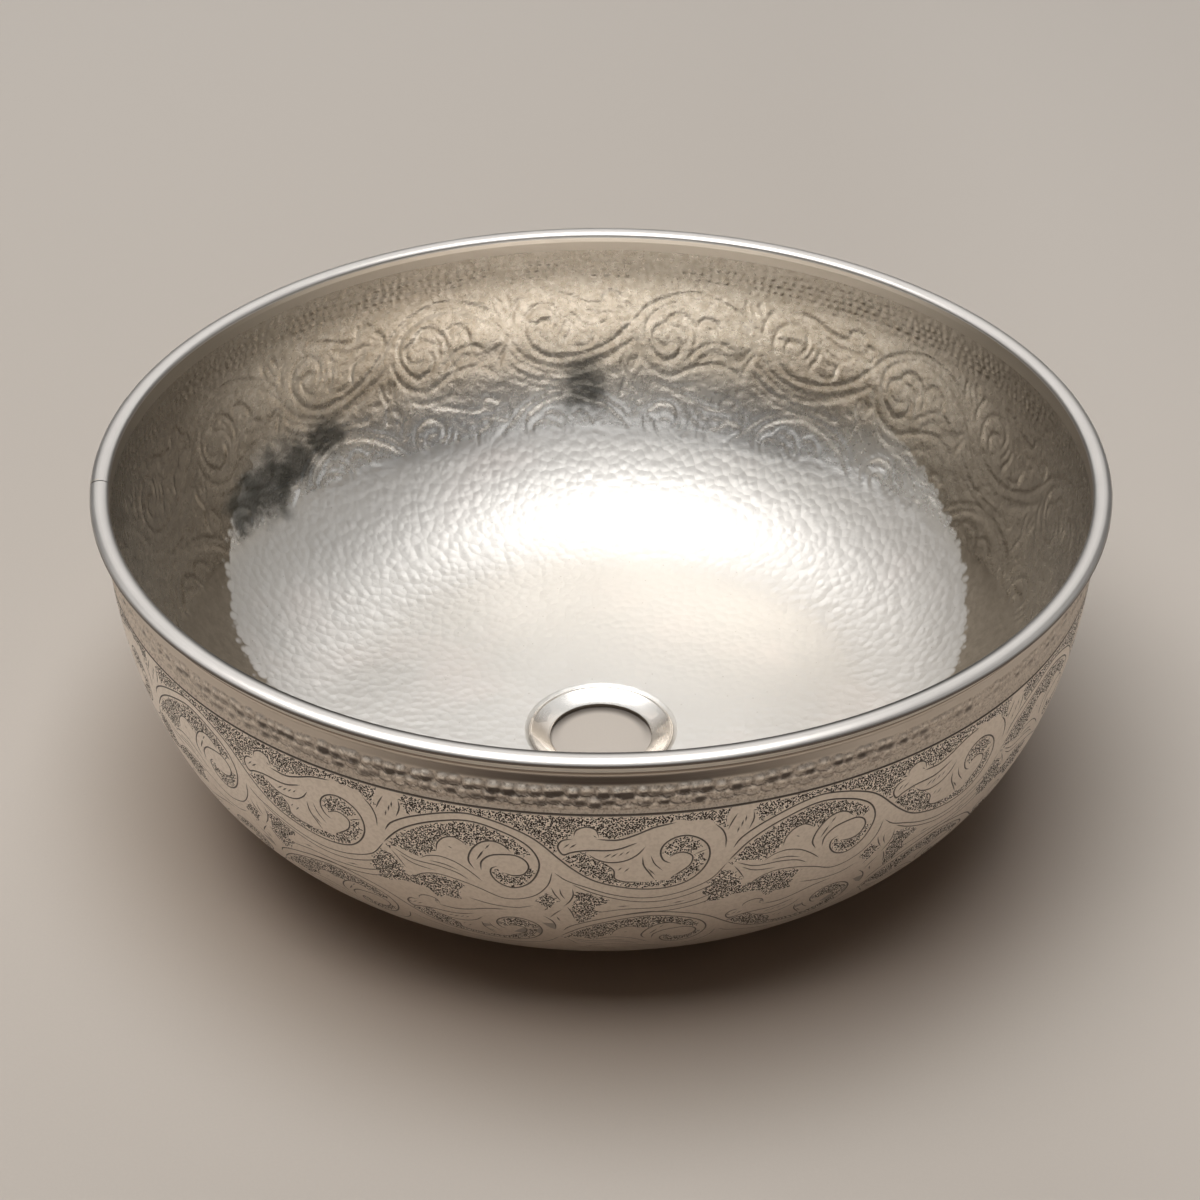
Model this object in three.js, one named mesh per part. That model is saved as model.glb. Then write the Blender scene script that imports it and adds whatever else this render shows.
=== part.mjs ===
// A hand-raised, engraved vessel basin: one sheet-metal shell, a soldered rim and a turned drain ring.
// Millimetres, +Z up, the foot standing on z = 0 and the drain's axis on Z.

import * as THREE from 'three';
import { mergeVertices } from 'three/addons/utils/BufferGeometryUtils.js';

// Shell
const bowlDiameter = 397.5; // outside of the upright wall, under the rim
const curveHeight = 135.2; // where the curved wall turns upright
const collarHeight = 9.8; // upright wall above the curve
const sheetThickness = 1.5;
const bilgePower = 4.87; // how squarely the wall rounds outwards
const wallPower = 2.2; // how squarely it rounds upwards
const floorHeight = 3.8; // underside of the floor beside the drain, above the foot
const floorSlope = 0.021; // fall of the floor towards the drain
const floorBlend = 2.0; // softness of the turn from floor to wall

// Chased line between the beaded band and the scrollwork
const borderDrop = 22.4; // below the wall's top edge
const borderWidth = 2.2;
const borderDepth = 0.35;

// Rim
const stripThickness = 0.8;
const stripGap = 0.5; // between the wall and each leg of the channel
const edgeGap = 0.3; // between the wall's top edge and the channel's web
const innerLegLength = 6.6;
const outerLegLength = 4.1;
const beadWidth = 7.4;
const beadHeight = 2.6;
const beadSide = 0.5; // upright edge under the bead's rounded crown
const beadInset = 0.35; // how far the bead stands inside the channel's inner leg
const buttJointAngle = -82.8; // degrees from the front, counted towards +X
const buttJointWidth = 0.6;

// Drain
const drainBore = 44.5;
const dishWidth = 9.35; // from the bore out to the lip
const dishPower = 1.25; // how hollow the dish is
const lipRise = 0.4; // lip above the floor
const lipRound = 0.7;
const drainWeb = 0.4; // metal left over the seat at the bore
const spigotWall = 1.0;
const spigotLift = 0.3; // spigot's end above the foot
const seatGap = 1.75; // from the spigot out to the hole in the shell
const seatMargin = 2.2; // from the lip out to where the floor starts
const seatRampWidth = 4.5;

// Solder seams
const solderClearance = 0.3;
const rimSeamWidth = 0.85;
const rimSeamHeight = 1.1;
const beadSeamWidth = 1.2;
const beadSeamHeight = 1.3;

// Facets
const ringSegments = 64;
const wallSteps = 14;
const rampSteps = 5;
const crownSteps = 8;
const dishSteps = 4;

const wallOuterRadius = bowlDiameter / 2;
const wallInnerRadius = wallOuterRadius - sheetThickness;
const wallTopHeight = curveHeight + collarHeight;
const borderHeight = wallTopHeight - borderDrop;
const boreRadius = drainBore / 2;
const spigotRadius = boreRadius + spigotWall;
const holeRadius = spigotRadius + seatGap;
const lipRadius = boreRadius + dishWidth;
const seatRadius = lipRadius + seatMargin;
const footRadius = seatRadius - seatRampWidth;

const point = (radius, height) => new THREE.Vector2(radius, height);

// Points beside a profile, at one distance along its left-hand normal
function offsetProfile(points, distance) {
  return points.map((here, index) => {
    const before = points[Math.max(index - 1, 0)];
    const after = points[Math.min(index + 1, points.length - 1)];
    const along = after.clone().sub(before).normalize();
    return point(here.x - along.y * distance, here.y + along.x * distance);
  });
}

// Pressed step from the flat foot up to the floor
function seatRamp() {
  const points = [];
  for (let step = 0; step <= rampSteps; step += 1) {
    const share = step / rampSteps;
    const height = (floorHeight * (1 - Math.cos(Math.PI * share))) / 2;
    points.push(point(footRadius + seatRampWidth * share, height));
  }
  return points;
}

// Underside of the bowl at one angle of its rounded quarter: a superellipse melting into the sloping floor
function bowlPoint(angle) {
  const radius = wallOuterRadius * Math.sin(angle) ** (2 / bilgePower);
  const wall = curveHeight * (1 - Math.cos(angle) ** (2 / wallPower));
  const floor = floorHeight + floorSlope * (radius - seatRadius);
  const height = (wall + floor + Math.hypot(wall - floor, floorBlend)) / 2;
  return point(radius, height);
}

function angleAtRadius(radius) {
  return Math.asin((radius / wallOuterRadius) ** (bilgePower / 2));
}

// Outside of the shell from the edge of the drain hole up to the wall's top edge
function shellOutside() {
  const bilgeStart = wallOuterRadius * 0.53;
  const floorRadii = [0.35, 0.7].map((share) => THREE.MathUtils.lerp(seatRadius, bilgeStart, share));
  const floor = floorRadii.map((radius) => bowlPoint(angleAtRadius(radius)));
  const startAngle = angleAtRadius(bilgeStart);
  const wall = [];
  for (let step = 0; step <= wallSteps; step += 1) {
    wall.push(bowlPoint(THREE.MathUtils.lerp(startAngle, Math.PI / 2, step / wallSteps)));
  }
  wall.push(point(wallOuterRadius, wallTopHeight));
  const below = wall.filter((here) => here.y < borderHeight - borderWidth);
  const above = wall.filter((here) => here.y > borderHeight + borderWidth);
  const last = below[below.length - 1];
  const next = above[0];
  const lineRadius = (height) =>
    THREE.MathUtils.mapLinear(height, last.y, next.y, last.x, next.x);
  const border = [
    point(lineRadius(borderHeight - borderWidth / 2), borderHeight - borderWidth / 2),
    point(lineRadius(borderHeight) - borderDepth, borderHeight),
    point(lineRadius(borderHeight + borderWidth / 2), borderHeight + borderWidth / 2),
  ];
  return {
    plain: [...seatRamp(), ...floor, ...below, ...above],
    chased: [...seatRamp(), ...floor, ...below, ...border, ...above],
  };
}

// Closed profile of a body of revolution, counter-clockwise as seen with the axis on the left
function revolve(profile) {
  const closed = [...profile, profile[0].clone()];
  const geometry = new THREE.LatheGeometry(closed, ringSegments);
  geometry.deleteAttribute('normal');
  geometry.deleteAttribute('uv');
  geometry.rotateX(Math.PI / 2);
  return mergeVertices(geometry);
}

// The same profile swept through a part of a turn only, with flat ends
function revolvePart(profile, fromDegrees, toDegrees) {
  const facet = 360 / ringSegments;
  const angles = [fromDegrees];
  for (let count = Math.floor(fromDegrees / facet) + 1; count * facet < toDegrees; count += 1) {
    if (count * facet > fromDegrees) {
      angles.push(count * facet);
    }
  }
  angles.push(toDegrees);
  const positions = [];
  for (const angle of angles) {
    const turn = THREE.MathUtils.degToRad(angle);
    for (const { x, y } of profile) {
      positions.push(x * Math.sin(turn), -x * Math.cos(turn), y);
    }
  }
  const size = profile.length;
  const faces = [];
  for (let ring = 0; ring < angles.length - 1; ring += 1) {
    for (let here = 0; here < size; here += 1) {
      const next = (here + 1) % size;
      const [a, b] = [ring * size + here, ring * size + next];
      faces.push(a, a + size, b + size, a, b + size, b);
    }
  }
  const last = (angles.length - 1) * size;
  for (const [a, b, c] of THREE.ShapeUtils.triangulateShape(profile, [])) {
    faces.push(a, b, c, last + a, last + c, last + b);
  }
  const geometry = new THREE.BufferGeometry();
  geometry.setAttribute('position', new THREE.Float32BufferAttribute(positions, 3));
  geometry.setIndex(faces);
  return geometry;
}

function metalPiece(name, geometry, color, roughness) {
  const material = new THREE.MeshStandardMaterial({ color, roughness, metalness: 1 });
  const mesh = new THREE.Mesh(geometry, material);
  mesh.name = name;
  return mesh;
}

function basinShell() {
  const { plain, chased } = shellOutside();
  const inside = offsetProfile(plain, sheetThickness);
  inside[0] = point(footRadius, sheetThickness);
  inside[inside.length - 1] = point(wallInnerRadius, wallTopHeight);
  const profile = [
    point(holeRadius, 0),
    ...chased,
    ...inside.reverse(),
    point(holeRadius, sheetThickness),
  ];
  return metalPiece('basin_shell', revolve(profile), 0xb4a898, 0.32);
}

// Rim pieces stand on the wall's top edge: their heights count from there
const webTop = edgeGap + stripThickness;
const channelInnerRadius = wallInnerRadius - stripGap - stripThickness;
const channelOuterRadius = wallOuterRadius + stripGap + stripThickness;
const outerLegFoot = webTop - outerLegLength;
const beadInnerRadius = channelInnerRadius - beadInset;
const beadOuterRadius = beadInnerRadius + beadWidth;

function rimChannel() {
  const innerLegFoot = webTop - innerLegLength;
  const profile = [
    point(channelInnerRadius, innerLegFoot),
    point(channelInnerRadius + stripThickness, innerLegFoot),
    point(channelInnerRadius + stripThickness, edgeGap),
    point(channelOuterRadius - stripThickness, edgeGap),
    point(channelOuterRadius - stripThickness, outerLegFoot),
    point(channelOuterRadius, outerLegFoot),
    point(channelOuterRadius, webTop),
    point(channelInnerRadius, webTop),
  ];
  return metalPiece('rim_channel', revolve(profile), 0x9c8f80, 0.3);
}

// Half-round bar: flat underneath, short upright sides, elliptical crown
function beadProfile() {
  const middle = (beadInnerRadius + beadOuterRadius) / 2;
  const points = [point(beadInnerRadius, webTop), point(beadOuterRadius, webTop)];
  for (let step = 0; step <= crownSteps; step += 1) {
    const angle = (Math.PI * step) / crownSteps;
    const height = webTop + beadSide + (beadHeight - beadSide) * Math.sin(angle);
    points.push(point(middle + (beadWidth / 2) * Math.cos(angle), height));
  }
  return points;
}

function rimBead() {
  const middle = (beadInnerRadius + beadOuterRadius) / 2;
  const slot = THREE.MathUtils.radToDeg((buttJointWidth / 2 + solderClearance) / middle);
  const geometry = revolvePart(beadProfile(), buttJointAngle + slot, buttJointAngle + 360 - slot);
  return metalPiece('rim_bead', geometry, 0xd2cdc6, 0.16);
}

function beadButtJoint() {
  const middle = (beadInnerRadius + beadOuterRadius) / 2;
  const half = THREE.MathUtils.radToDeg(buttJointWidth / 2 / middle);
  const geometry = revolvePart(beadProfile(), buttJointAngle - half, buttJointAngle + half);
  return metalPiece('bead_butt_joint', geometry, 0xdedad4, 0.3);
}

// Hollow fillet of solder hanging from a flat face, beside an upright one
function seam(name, innerRadius, top, width, height) {
  const profile = [
    point(innerRadius, top - height),
    point(innerRadius + width * 0.35, top - height * 0.35),
    point(innerRadius + width, top),
    point(innerRadius, top),
  ];
  return metalPiece(name, revolve(profile), 0xa89c8e, 0.45);
}

function drainRing() {
  const underside = sheetThickness + solderClearance;
  const boreTop = underside + drainWeb;
  const lipTop = floorHeight + sheetThickness + lipRise;
  const side = offsetProfile(seatRamp(), underside).filter(
    (here) => here.x > footRadius && here.x < lipRadius - lipRound,
  );
  const profile = [
    point(boreRadius, spigotLift),
    point(spigotRadius, spigotLift),
    point(spigotRadius, underside),
    point(footRadius - underside / 2, underside),
    ...side,
  ];
  for (const degrees of [-20, 25, 60, 90, 130]) {
    const angle = THREE.MathUtils.degToRad(degrees);
    const radius = lipRadius - lipRound + lipRound * Math.cos(angle);
    profile.push(point(radius, lipTop - lipRound + lipRound * Math.sin(angle)));
  }
  const dishEdge = profile[profile.length - 1];
  for (let step = dishSteps - 1; step >= 0; step -= 1) {
    const share = step / dishSteps;
    const radius = THREE.MathUtils.lerp(boreRadius, dishEdge.x, share);
    profile.push(point(radius, THREE.MathUtils.lerp(boreTop, dishEdge.y, share ** dishPower)));
  }
  return metalPiece('drain_ring', revolve(profile), 0xd6d0c8, 0.12);
}

function drainSolderSeam() {
  const profile = [
    point(spigotRadius + solderClearance, spigotLift),
    point(holeRadius - solderClearance, spigotLift),
    point(holeRadius - solderClearance, sheetThickness),
    point(spigotRadius + solderClearance, sheetThickness),
  ];
  return metalPiece('drain_solder_seam', revolve(profile), 0xa89c8e, 0.45);
}

const rimSeamRadius = wallOuterRadius + solderClearance;
const beadSeamRadius = channelOuterRadius + solderClearance;

const rim = new THREE.Group();
rim.position.z = wallTopHeight;
rim.add(
  rimChannel(),
  rimBead(),
  beadButtJoint(),
  seam('rim_solder_seam', rimSeamRadius, outerLegFoot, rimSeamWidth, rimSeamHeight),
  seam('bead_solder_seam', beadSeamRadius, webTop, beadSeamWidth, beadSeamHeight),
);

const drain = new THREE.Group();
drain.add(drainRing(), drainSolderSeam());

const basin = new THREE.Group();
basin.add(basinShell(), rim, drain);

export default basin;
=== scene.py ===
import math

import bpy
import numpy as np
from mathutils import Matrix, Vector, geometry, kdtree


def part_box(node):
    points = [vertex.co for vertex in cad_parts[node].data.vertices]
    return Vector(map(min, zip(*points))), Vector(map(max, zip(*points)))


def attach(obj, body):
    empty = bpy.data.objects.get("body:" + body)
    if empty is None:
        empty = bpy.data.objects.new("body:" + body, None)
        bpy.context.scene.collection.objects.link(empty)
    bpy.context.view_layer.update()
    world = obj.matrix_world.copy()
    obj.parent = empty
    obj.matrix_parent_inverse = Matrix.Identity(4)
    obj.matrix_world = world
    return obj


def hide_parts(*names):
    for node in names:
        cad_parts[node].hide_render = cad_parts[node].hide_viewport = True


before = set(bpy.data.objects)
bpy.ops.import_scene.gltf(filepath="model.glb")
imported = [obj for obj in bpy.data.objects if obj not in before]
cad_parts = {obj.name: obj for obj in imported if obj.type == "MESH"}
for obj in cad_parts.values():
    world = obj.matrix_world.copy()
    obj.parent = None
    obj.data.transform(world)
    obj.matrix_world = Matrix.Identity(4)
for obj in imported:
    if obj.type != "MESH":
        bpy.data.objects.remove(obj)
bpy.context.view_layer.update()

mm = 0.001  # shapes are worked out in millimetres and built in metres
fullTurn = 360.0
smoothAngle = 32.0  # degrees between faces up to which an edge is smooth
softAngle = 70.0  # the same for chased and punched work


# small helpers

def deselectAll():
    if bpy.context.mode != "OBJECT":
        bpy.ops.object.mode_set(mode="OBJECT")
    bpy.ops.object.select_all(action="DESELECT")


def rideAs(piece, slotName, *nodes):
    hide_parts(*nodes)
    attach(piece, "root")


def smoothStep(low, high, value):
    share = np.clip((value - low) / (high - low), 0.0, 1.0)
    return share * share * (3.0 - 2.0 * share)


# shader values as expressions: arithmetic on a Wire adds Math nodes

class Wire:
    def __init__(self, finish, socket):
        self.finish = finish
        self.socket = socket

    def math(self, operation, *values):
        sockets = {place: value for place, value in enumerate(values)}
        return self.finish.node("ShaderNodeMath", {"operation": operation}, sockets)

    def __add__(self, other):
        return self.math("ADD", self, other)

    def __radd__(self, other):
        return self.math("ADD", other, self)

    def __sub__(self, other):
        return self.math("SUBTRACT", self, other)

    def __rsub__(self, other):
        return self.math("SUBTRACT", other, self)

    def __mul__(self, other):
        return self.math("MULTIPLY", self, other)

    def __rmul__(self, other):
        return self.math("MULTIPLY", other, self)

    def atLeast(self, other):
        return self.math("MAXIMUM", self, other)

    def between(self, low, high, fromValue=0.0, toValue=1.0):
        # a smooth step, from nothing below low to all above high
        sockets = {"Value": self, "From Min": low, "From Max": high, "To Min": fromValue, "To Max": toValue}
        return self.finish.node("ShaderNodeMapRange", {"interpolation_type": "SMOOTHSTEP"}, sockets)

    def below(self, low, high):
        return self.between(low, high, 1.0, 0.0)

    def thread(self, width):
        # thin wandering lines where a noise passes its middle value
        return (self - 0.5).math("ABSOLUTE").below(0.0, width)


class Finish:
    def __init__(self, name):
        self.material = bpy.data.materials.new(name)
        self.material.use_nodes = True
        self.tree = self.material.node_tree
        self.shader = self.tree.nodes["Principled BSDF"]
        self.place = self.node("ShaderNodeTexCoord", {}, {}, "Object")

    def node(self, kind, settings, sockets, output=0):
        made = self.tree.nodes.new(kind)
        for name, value in settings.items():
            setattr(made, name, value)
        for name, value in sockets.items():
            self.feed(made.inputs[name], value)
        return Wire(self, made.outputs[output])

    def feed(self, socket, value):
        if isinstance(value, Wire):
            self.tree.links.new(value.socket, socket)
        elif socket.type == "RGBA":
            socket.default_value = (*value, 1.0)
        else:
            socket.default_value = value

    def done(self, colour, roughness, normal=None, metallic=1.0):
        looks = {"Base Color": colour, "Roughness": roughness, "Metallic": metallic}
        if normal:
            looks["Normal"] = normal
        for name, value in looks.items():
            self.feed(self.shader.inputs[name], value)
        return self.material

    def axis(self, name):
        return self.node("ShaderNodeSeparateXYZ", {}, {"Vector": self.place}, name)

    def vector(self, operation, *values, output="Value"):
        return self.node("ShaderNodeVectorMath", {"operation": operation}, dict(enumerate(values)), output)

    def radius(self):
        # how far out from the drain's axis
        flat = self.vector("MULTIPLY", self.place, (1.0, 1.0, 0.0), output="Vector")
        return self.vector("LENGTH", flat)

    def stretched(self, scale):
        return self.node("ShaderNodeMapping", {}, {"Vector": self.place, "Scale": scale})

    def noise(self, scale, detail=2.0, place=None, roughness=0.5):
        sockets = {"Vector": place or self.place, "Scale": scale, "Detail": detail, "Roughness": roughness}
        return self.node("ShaderNodeTexNoise", {}, sockets)

    def cells(self, scale, randomness=1.0):
        sockets = {"Vector": self.place, "Scale": scale, "Randomness": randomness}
        return self.node("ShaderNodeTexVoronoi", {}, sockets)

    def attribute(self, name):
        return self.node("ShaderNodeAttribute", {"attribute_name": name}, {}, "Fac")

    def blend(self, factor, under, over):
        return self.node("ShaderNodeMix", {"data_type": "RGBA"}, {0: factor, 6: under, 7: over}, 2)

    def layers(self, colour, *coats):
        # coats laid over one another, each with how far it covers and its colour
        for share, coat in coats:
            colour = self.blend(share, colour, coat)
        return colour

    def bump(self, height, strength, distance, normal=None):
        sockets = {"Height": height, "Strength": strength, "Distance": distance}
        if normal:
            sockets["Normal"] = normal
        return self.node("ShaderNodeBump", {}, sockets)


# camera, floor and light

photoView = {
    "place": (0.0, -0.8128, 0.6370),
    "tiltDown": 34.72,  # degrees below level
    "lens": 70.5,
    "nudge": -1.0 / 1200,  # share of the photograph's width
}

studio = {
    "floorWidth": 14.0,
    "roomColour": (1.0, 0.985, 0.97),
    "roomStrength": 0.13,  # seen by the metal alone, the paper is lit by the panels
    "lightColour": (1.0, 0.985, 0.965),
    # place, the point each faces, width and depth, brightness of its face, and whether it lights the paper
    "panels": (
        ((-0.5, -0.3, 3.0), (-0.5, -0.3, 0.0), (2.6, 2.4), 4.3, True),
        ((-0.8, 0.0, 3.2), (-0.8, 0.0, 0.0), (7.0, 6.4), 0.58, False),
        ((-3.8, 0.3, 2.3), (0.0, 0.0, 0.1), (4.4, 2.0), 0.62, False),
        ((3.8, 0.3, 2.3), (0.0, 0.0, 0.1), (4.4, 2.0), 0.42, False),
        ((0.0, 3.6, 2.7), (0.0, 0.0, 0.2), (5.0, 2.2), 0.9, True),
        ((0.0, -3.4, 2.1), (0.0, 0.0, 0.2), (4.0, 1.4), 0.5, False),
    ),
}


def placeCamera():
    tilt = math.radians(90.0 - photoView["tiltDown"])
    bpy.ops.object.camera_add(location=photoView["place"], rotation=(tilt, 0.0, 0.0))
    camera = bpy.context.object
    camera.name = "photoCamera"
    camera.data.lens = photoView["lens"]
    camera.data.shift_x = photoView["nudge"]
    camera.data.clip_end = 50.0
    bpy.context.scene.camera = camera


def layFloor():
    deselectAll()
    bpy.ops.mesh.primitive_plane_add(size=studio["floorWidth"])
    floor = bpy.context.object
    floor.name = "studioFloor"
    paper = Finish("palePaper")
    across, depth = paper.axis("X"), paper.axis("Y")
    away = paper.vector("LENGTH", paper.place)
    # painted shadow: a dark ring on the paper under the drain hole's edge
    bore = away.between(0.0172, 0.0216) * away.below(0.026, 0.034) * depth.between(-0.006, 0.016)
    colour = paper.layers(
        paper.blend(paper.noise(900.0, 3.0), (0.585, 0.53, 0.476), (0.615, 0.558, 0.502)),
        (away.below(0.13, 0.26) * away.between(0.04, 0.12), (0.47, 0.37, 0.29)),  # shadow under the bowl
        (bore * 0.9, (0.12, 0.10, 0.085)),
        # painted light: the paper paler to the right of the bowl, lifting the shadow there
        (across.between(0.12, 0.30) * 0.7, (0.68, 0.622, 0.565)),
        (depth.between(0.0, 1.7), (0.72, 0.668, 0.615)),  # painted light: paler far behind
    )
    floor.data.materials.append(paper.done(colour, 0.9, metallic=0.0))


def hangLights():
    world = bpy.data.worlds.new("studioRoom")
    bpy.context.scene.world = world
    world.use_nodes = True
    backdrop = world.node_tree.nodes["Background"]
    backdrop.inputs["Color"].default_value = (*studio["roomColour"], 1.0)
    backdrop.inputs["Strength"].default_value = studio["roomStrength"]
    world.cycles_visibility.diffuse = False
    for place, target, (width, depth), brightness, lightsPaper in studio["panels"]:
        aim = (Vector(place) - Vector(target)).to_track_quat("Z", "Y").to_euler()
        bpy.ops.object.light_add(type="AREA", location=place, rotation=aim)
        bpy.context.object.visible_diffuse = lightsPaper
        panel = bpy.context.object.data
        panel.shape = "RECTANGLE"
        panel.size, panel.size_y = width, depth
        panel.energy = brightness * math.pi * width * depth
        panel.color = studio["lightColour"]
    bpy.context.scene.view_settings.view_transform = "Standard"


placeCamera()
layFloor()
hangLights()
print("camera, floor and light placed")


# the raised shell's own line, outside and inside

shell = {
    "curveHeight": 135.2,  # where the curved wall turns upright
    "thickness": 1.5,
    "bilgePower": 4.87,
    "wallPower": 2.2,
    "floorHeight": 3.8,
    "floorSlope": 0.021,
    "floorBlend": 2.0,
    "seatRadius": 33.8,
    "footRadius": 29.3,
    "holeRadius": 25.0,
    "borderDrop": 22.4,  # from the wall's top edge down to the chased border line
}
shell["radius"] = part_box("basin_shell")[1].x / mm
shell["top"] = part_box("basin_shell")[1].z / mm


def rawLine():
    # radius and height of the outside, from the wall's top edge down and in to the drain hole
    reach = shell["radius"]
    seat = shell["seatRadius"]
    power = 2.0 / shell["bilgePower"]
    first = math.asin((seat / reach) ** (1.0 / power))
    angle = np.linspace(math.pi / 2, first, 3000)
    radius = reach * np.sin(angle) ** power
    wall = shell["curveHeight"] * (1.0 - np.clip(np.cos(angle), 0.0, 1.0) ** (2.0 / shell["wallPower"]))
    floor = shell["floorHeight"] + shell["floorSlope"] * (radius - seat)
    height = (wall + floor + np.hypot(wall - floor, shell["floorBlend"])) / 2
    collar = np.arange(shell["top"], shell["curveHeight"], -0.2)
    share = np.linspace(1.0, 0.0, 60)[1:]
    foot = shell["footRadius"]
    step = foot + (seat - foot) * share
    stepHeight = shell["floorHeight"] * (1.0 - np.cos(math.pi * share)) / 2
    flat = np.linspace(foot, shell["holeRadius"], 20)[1:]
    radii = np.concatenate([np.full(len(collar), reach), radius, step, flat])
    heights = np.concatenate([collar, height, stepHeight, np.zeros(len(flat))])
    return radii, heights


def spun(degrees, radius, height):
    # where a radius and height lie in space, by degrees from the front towards +X
    turn = np.radians(degrees)
    return np.stack(np.broadcast_arrays(radius * np.sin(turn), -radius * np.cos(turn), height), -1)


class Line:
    # a line down the shell, looked up by its length in millimetres below the chased border
    def __init__(self, radii, heights):
        lengths = np.concatenate([[0.0], np.cumsum(np.hypot(np.diff(radii), np.diff(heights)))])
        even = np.arange(0.0, lengths[-1], 0.1)
        self.radii = np.interp(even, lengths, radii)
        self.heights = np.interp(even, lengths, heights)
        along = np.gradient(self.radii), np.gradient(self.heights)
        size = np.hypot(*along)
        self.outR, self.outZ = -along[1] / size, along[0] / size
        border = shell["top"] - shell["borderDrop"]
        self.drops = even - np.interp(-border, -self.heights, even)

    def at(self, drop):
        parts = (self.radii, self.heights, self.outR, self.outZ)
        return [np.interp(drop, self.drops, part) for part in parts]

    def points(self, degrees, drop, rise=0.0):
        # places in space, raised along the outward normal
        radius, height, outR, outZ = self.at(drop)
        return spun(degrees, radius + outR * rise, height + outZ * rise)

    def outward(self, degrees, drop):
        _, _, outR, outZ = self.at(drop)
        return spun(degrees, outR, outZ)

    def rings(self, degrees, drops):
        return [self.points(degrees, drop) for drop in drops]


outside = Line(*rawLine())


def offsetLine(depth):
    heights = np.minimum(outside.heights - outside.outZ * depth, shell["top"])
    radii = np.maximum(outside.radii - outside.outR * depth, shell["holeRadius"])
    return Line(radii, heights)


inside = offsetLine(shell["thickness"])
middle = offsetLine(shell["thickness"] / 2)
lastDrop = outside.drops[-1]
firstDrop = outside.drops[0]


# rings of points joined into closed skins

def ringFaces(start, count, nextStart, nextCount):
    # triangles between two rings whose counts divide each other
    if count < nextCount:
        return [face[::-1] for face in ringFaces(nextStart, nextCount, start, count)]
    ratio = count // nextCount
    half = ratio // 2
    faces = []
    for coarse in range(nextCount):
        low, high = nextStart + coarse, nextStart + (coarse + 1) % nextCount
        for fine in range(ratio):
            here = start + coarse * ratio + fine
            after = start + (coarse * ratio + fine + 1) % count
            if ratio == 1:
                faces.append((here, after, high, low))
            elif fine < half:
                faces.append((here, after, low))
                if fine == half - 1:
                    faces.append((after, high, low))
            else:
                faces.append((here, after, high))
    return faces


def zipRings(ring, ringTurns, other, otherTurns):
    # triangles between two closed rings whose points don't line up, both sorted by angle
    ring, other = ring.tolist(), other.tolist()
    ringTurns = [*ringTurns, ringTurns[0] + fullTurn]
    otherTurns = [*otherTurns, otherTurns[0] + fullTurn]
    faces = []
    here, there = 0, 0
    while here < len(ring) or there < len(other):
        low, high = ring[here % len(ring)], other[there % len(other)]
        if there == len(other) or (here < len(ring) and ringTurns[here + 1] <= otherTurns[there + 1]):
            here += 1
            faces.append((low, ring[here % len(ring)], high))
        else:
            there += 1
            faces.append((low, other[there % len(other)], high))
    return faces


def smoothSkin(crease):
    # on the active piece in edit mode: faces point outward, and all but sharp edges are smooth
    bpy.ops.mesh.select_all(action="SELECT")
    bpy.ops.mesh.normals_make_consistent(inside=False)
    bpy.ops.object.mode_set(mode="OBJECT")
    bpy.ops.object.shade_smooth_by_angle(angle=math.radians(crease))


def finishMesh(name, places, faces, crease, kinds=None):
    mesh = bpy.data.meshes.new(name)
    mesh.from_pydata((np.concatenate(places) * mm).tolist(), [], faces)
    if kinds:
        mesh.attributes.new("kind", "INT", "FACE").data.foreach_set("value", kinds)
    piece = bpy.data.objects.new(name, mesh)
    bpy.context.collection.objects.link(piece)
    deselectAll()
    piece.select_set(True)
    bpy.context.view_layer.objects.active = piece
    bpy.ops.object.mode_set(mode="EDIT")
    smoothSkin(crease)
    print(name, "built with", len(mesh.polygons), "faces")
    return piece


def closedSkin(name, rings, crease=smoothAngle):
    # joins each ring to the next and the last to the first
    starts = np.cumsum([0] + [len(ring) for ring in rings]).tolist()
    faces = []
    for here in range(len(rings)):
        after = (here + 1) % len(rings)
        faces += ringFaces(starts[here], len(rings[here]), starts[after], len(rings[after]))
    return finishMesh(name, rings, faces, crease)


def turns(count):
    return np.arange(count) * fullTurn / count


# turned rings: a section spun round the drain's axis

def spinSection(name, outline, steps, turn=fullTurn, startAt=0.0):
    # outline is radius and height in mm, going round the section once
    deselectAll()
    bpy.ops.mesh.primitive_circle_add(vertices=len(outline), radius=mm)
    ring = bpy.context.object
    ring.name = name
    for vertex, (radius, height) in zip(ring.data.vertices, outline):
        vertex.co = Vector(spun(startAt, radius, height)) * mm
    bpy.ops.object.mode_set(mode="EDIT")
    bpy.ops.mesh.select_all(action="SELECT")
    capped = turn < fullTurn
    if capped:
        bpy.ops.mesh.edge_face_add()
    bpy.ops.mesh.spin(steps=steps, angle=math.radians(turn), center=(0.0, 0.0, 0.0), axis=(0.0, 0.0, 1.0))
    if capped:
        bpy.ops.mesh.edge_face_add()
    bpy.ops.mesh.select_all(action="SELECT")
    bpy.ops.mesh.remove_doubles(threshold=0.002 * mm)
    smoothSkin(smoothAngle)
    return ring


def arc(centre, size, fromDegrees, toDegrees, count):
    return [
        (centre[0] + size[0] * math.cos(math.radians(a)), centre[1] + size[1] * math.sin(math.radians(a)))
        for a in np.linspace(fromDegrees, toDegrees, count)
    ]


rimBead = {
    "width": 7.4,
    "side": 0.5,  # upright edge below the rounded crown
    "crownPoints": 25,
    "steps": 400,
    "jointAngle": -82.8,  # degrees from the front, counted towards +X
    "jointWidth": 0.6,
    "jointLap": 0.02,
}


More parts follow.
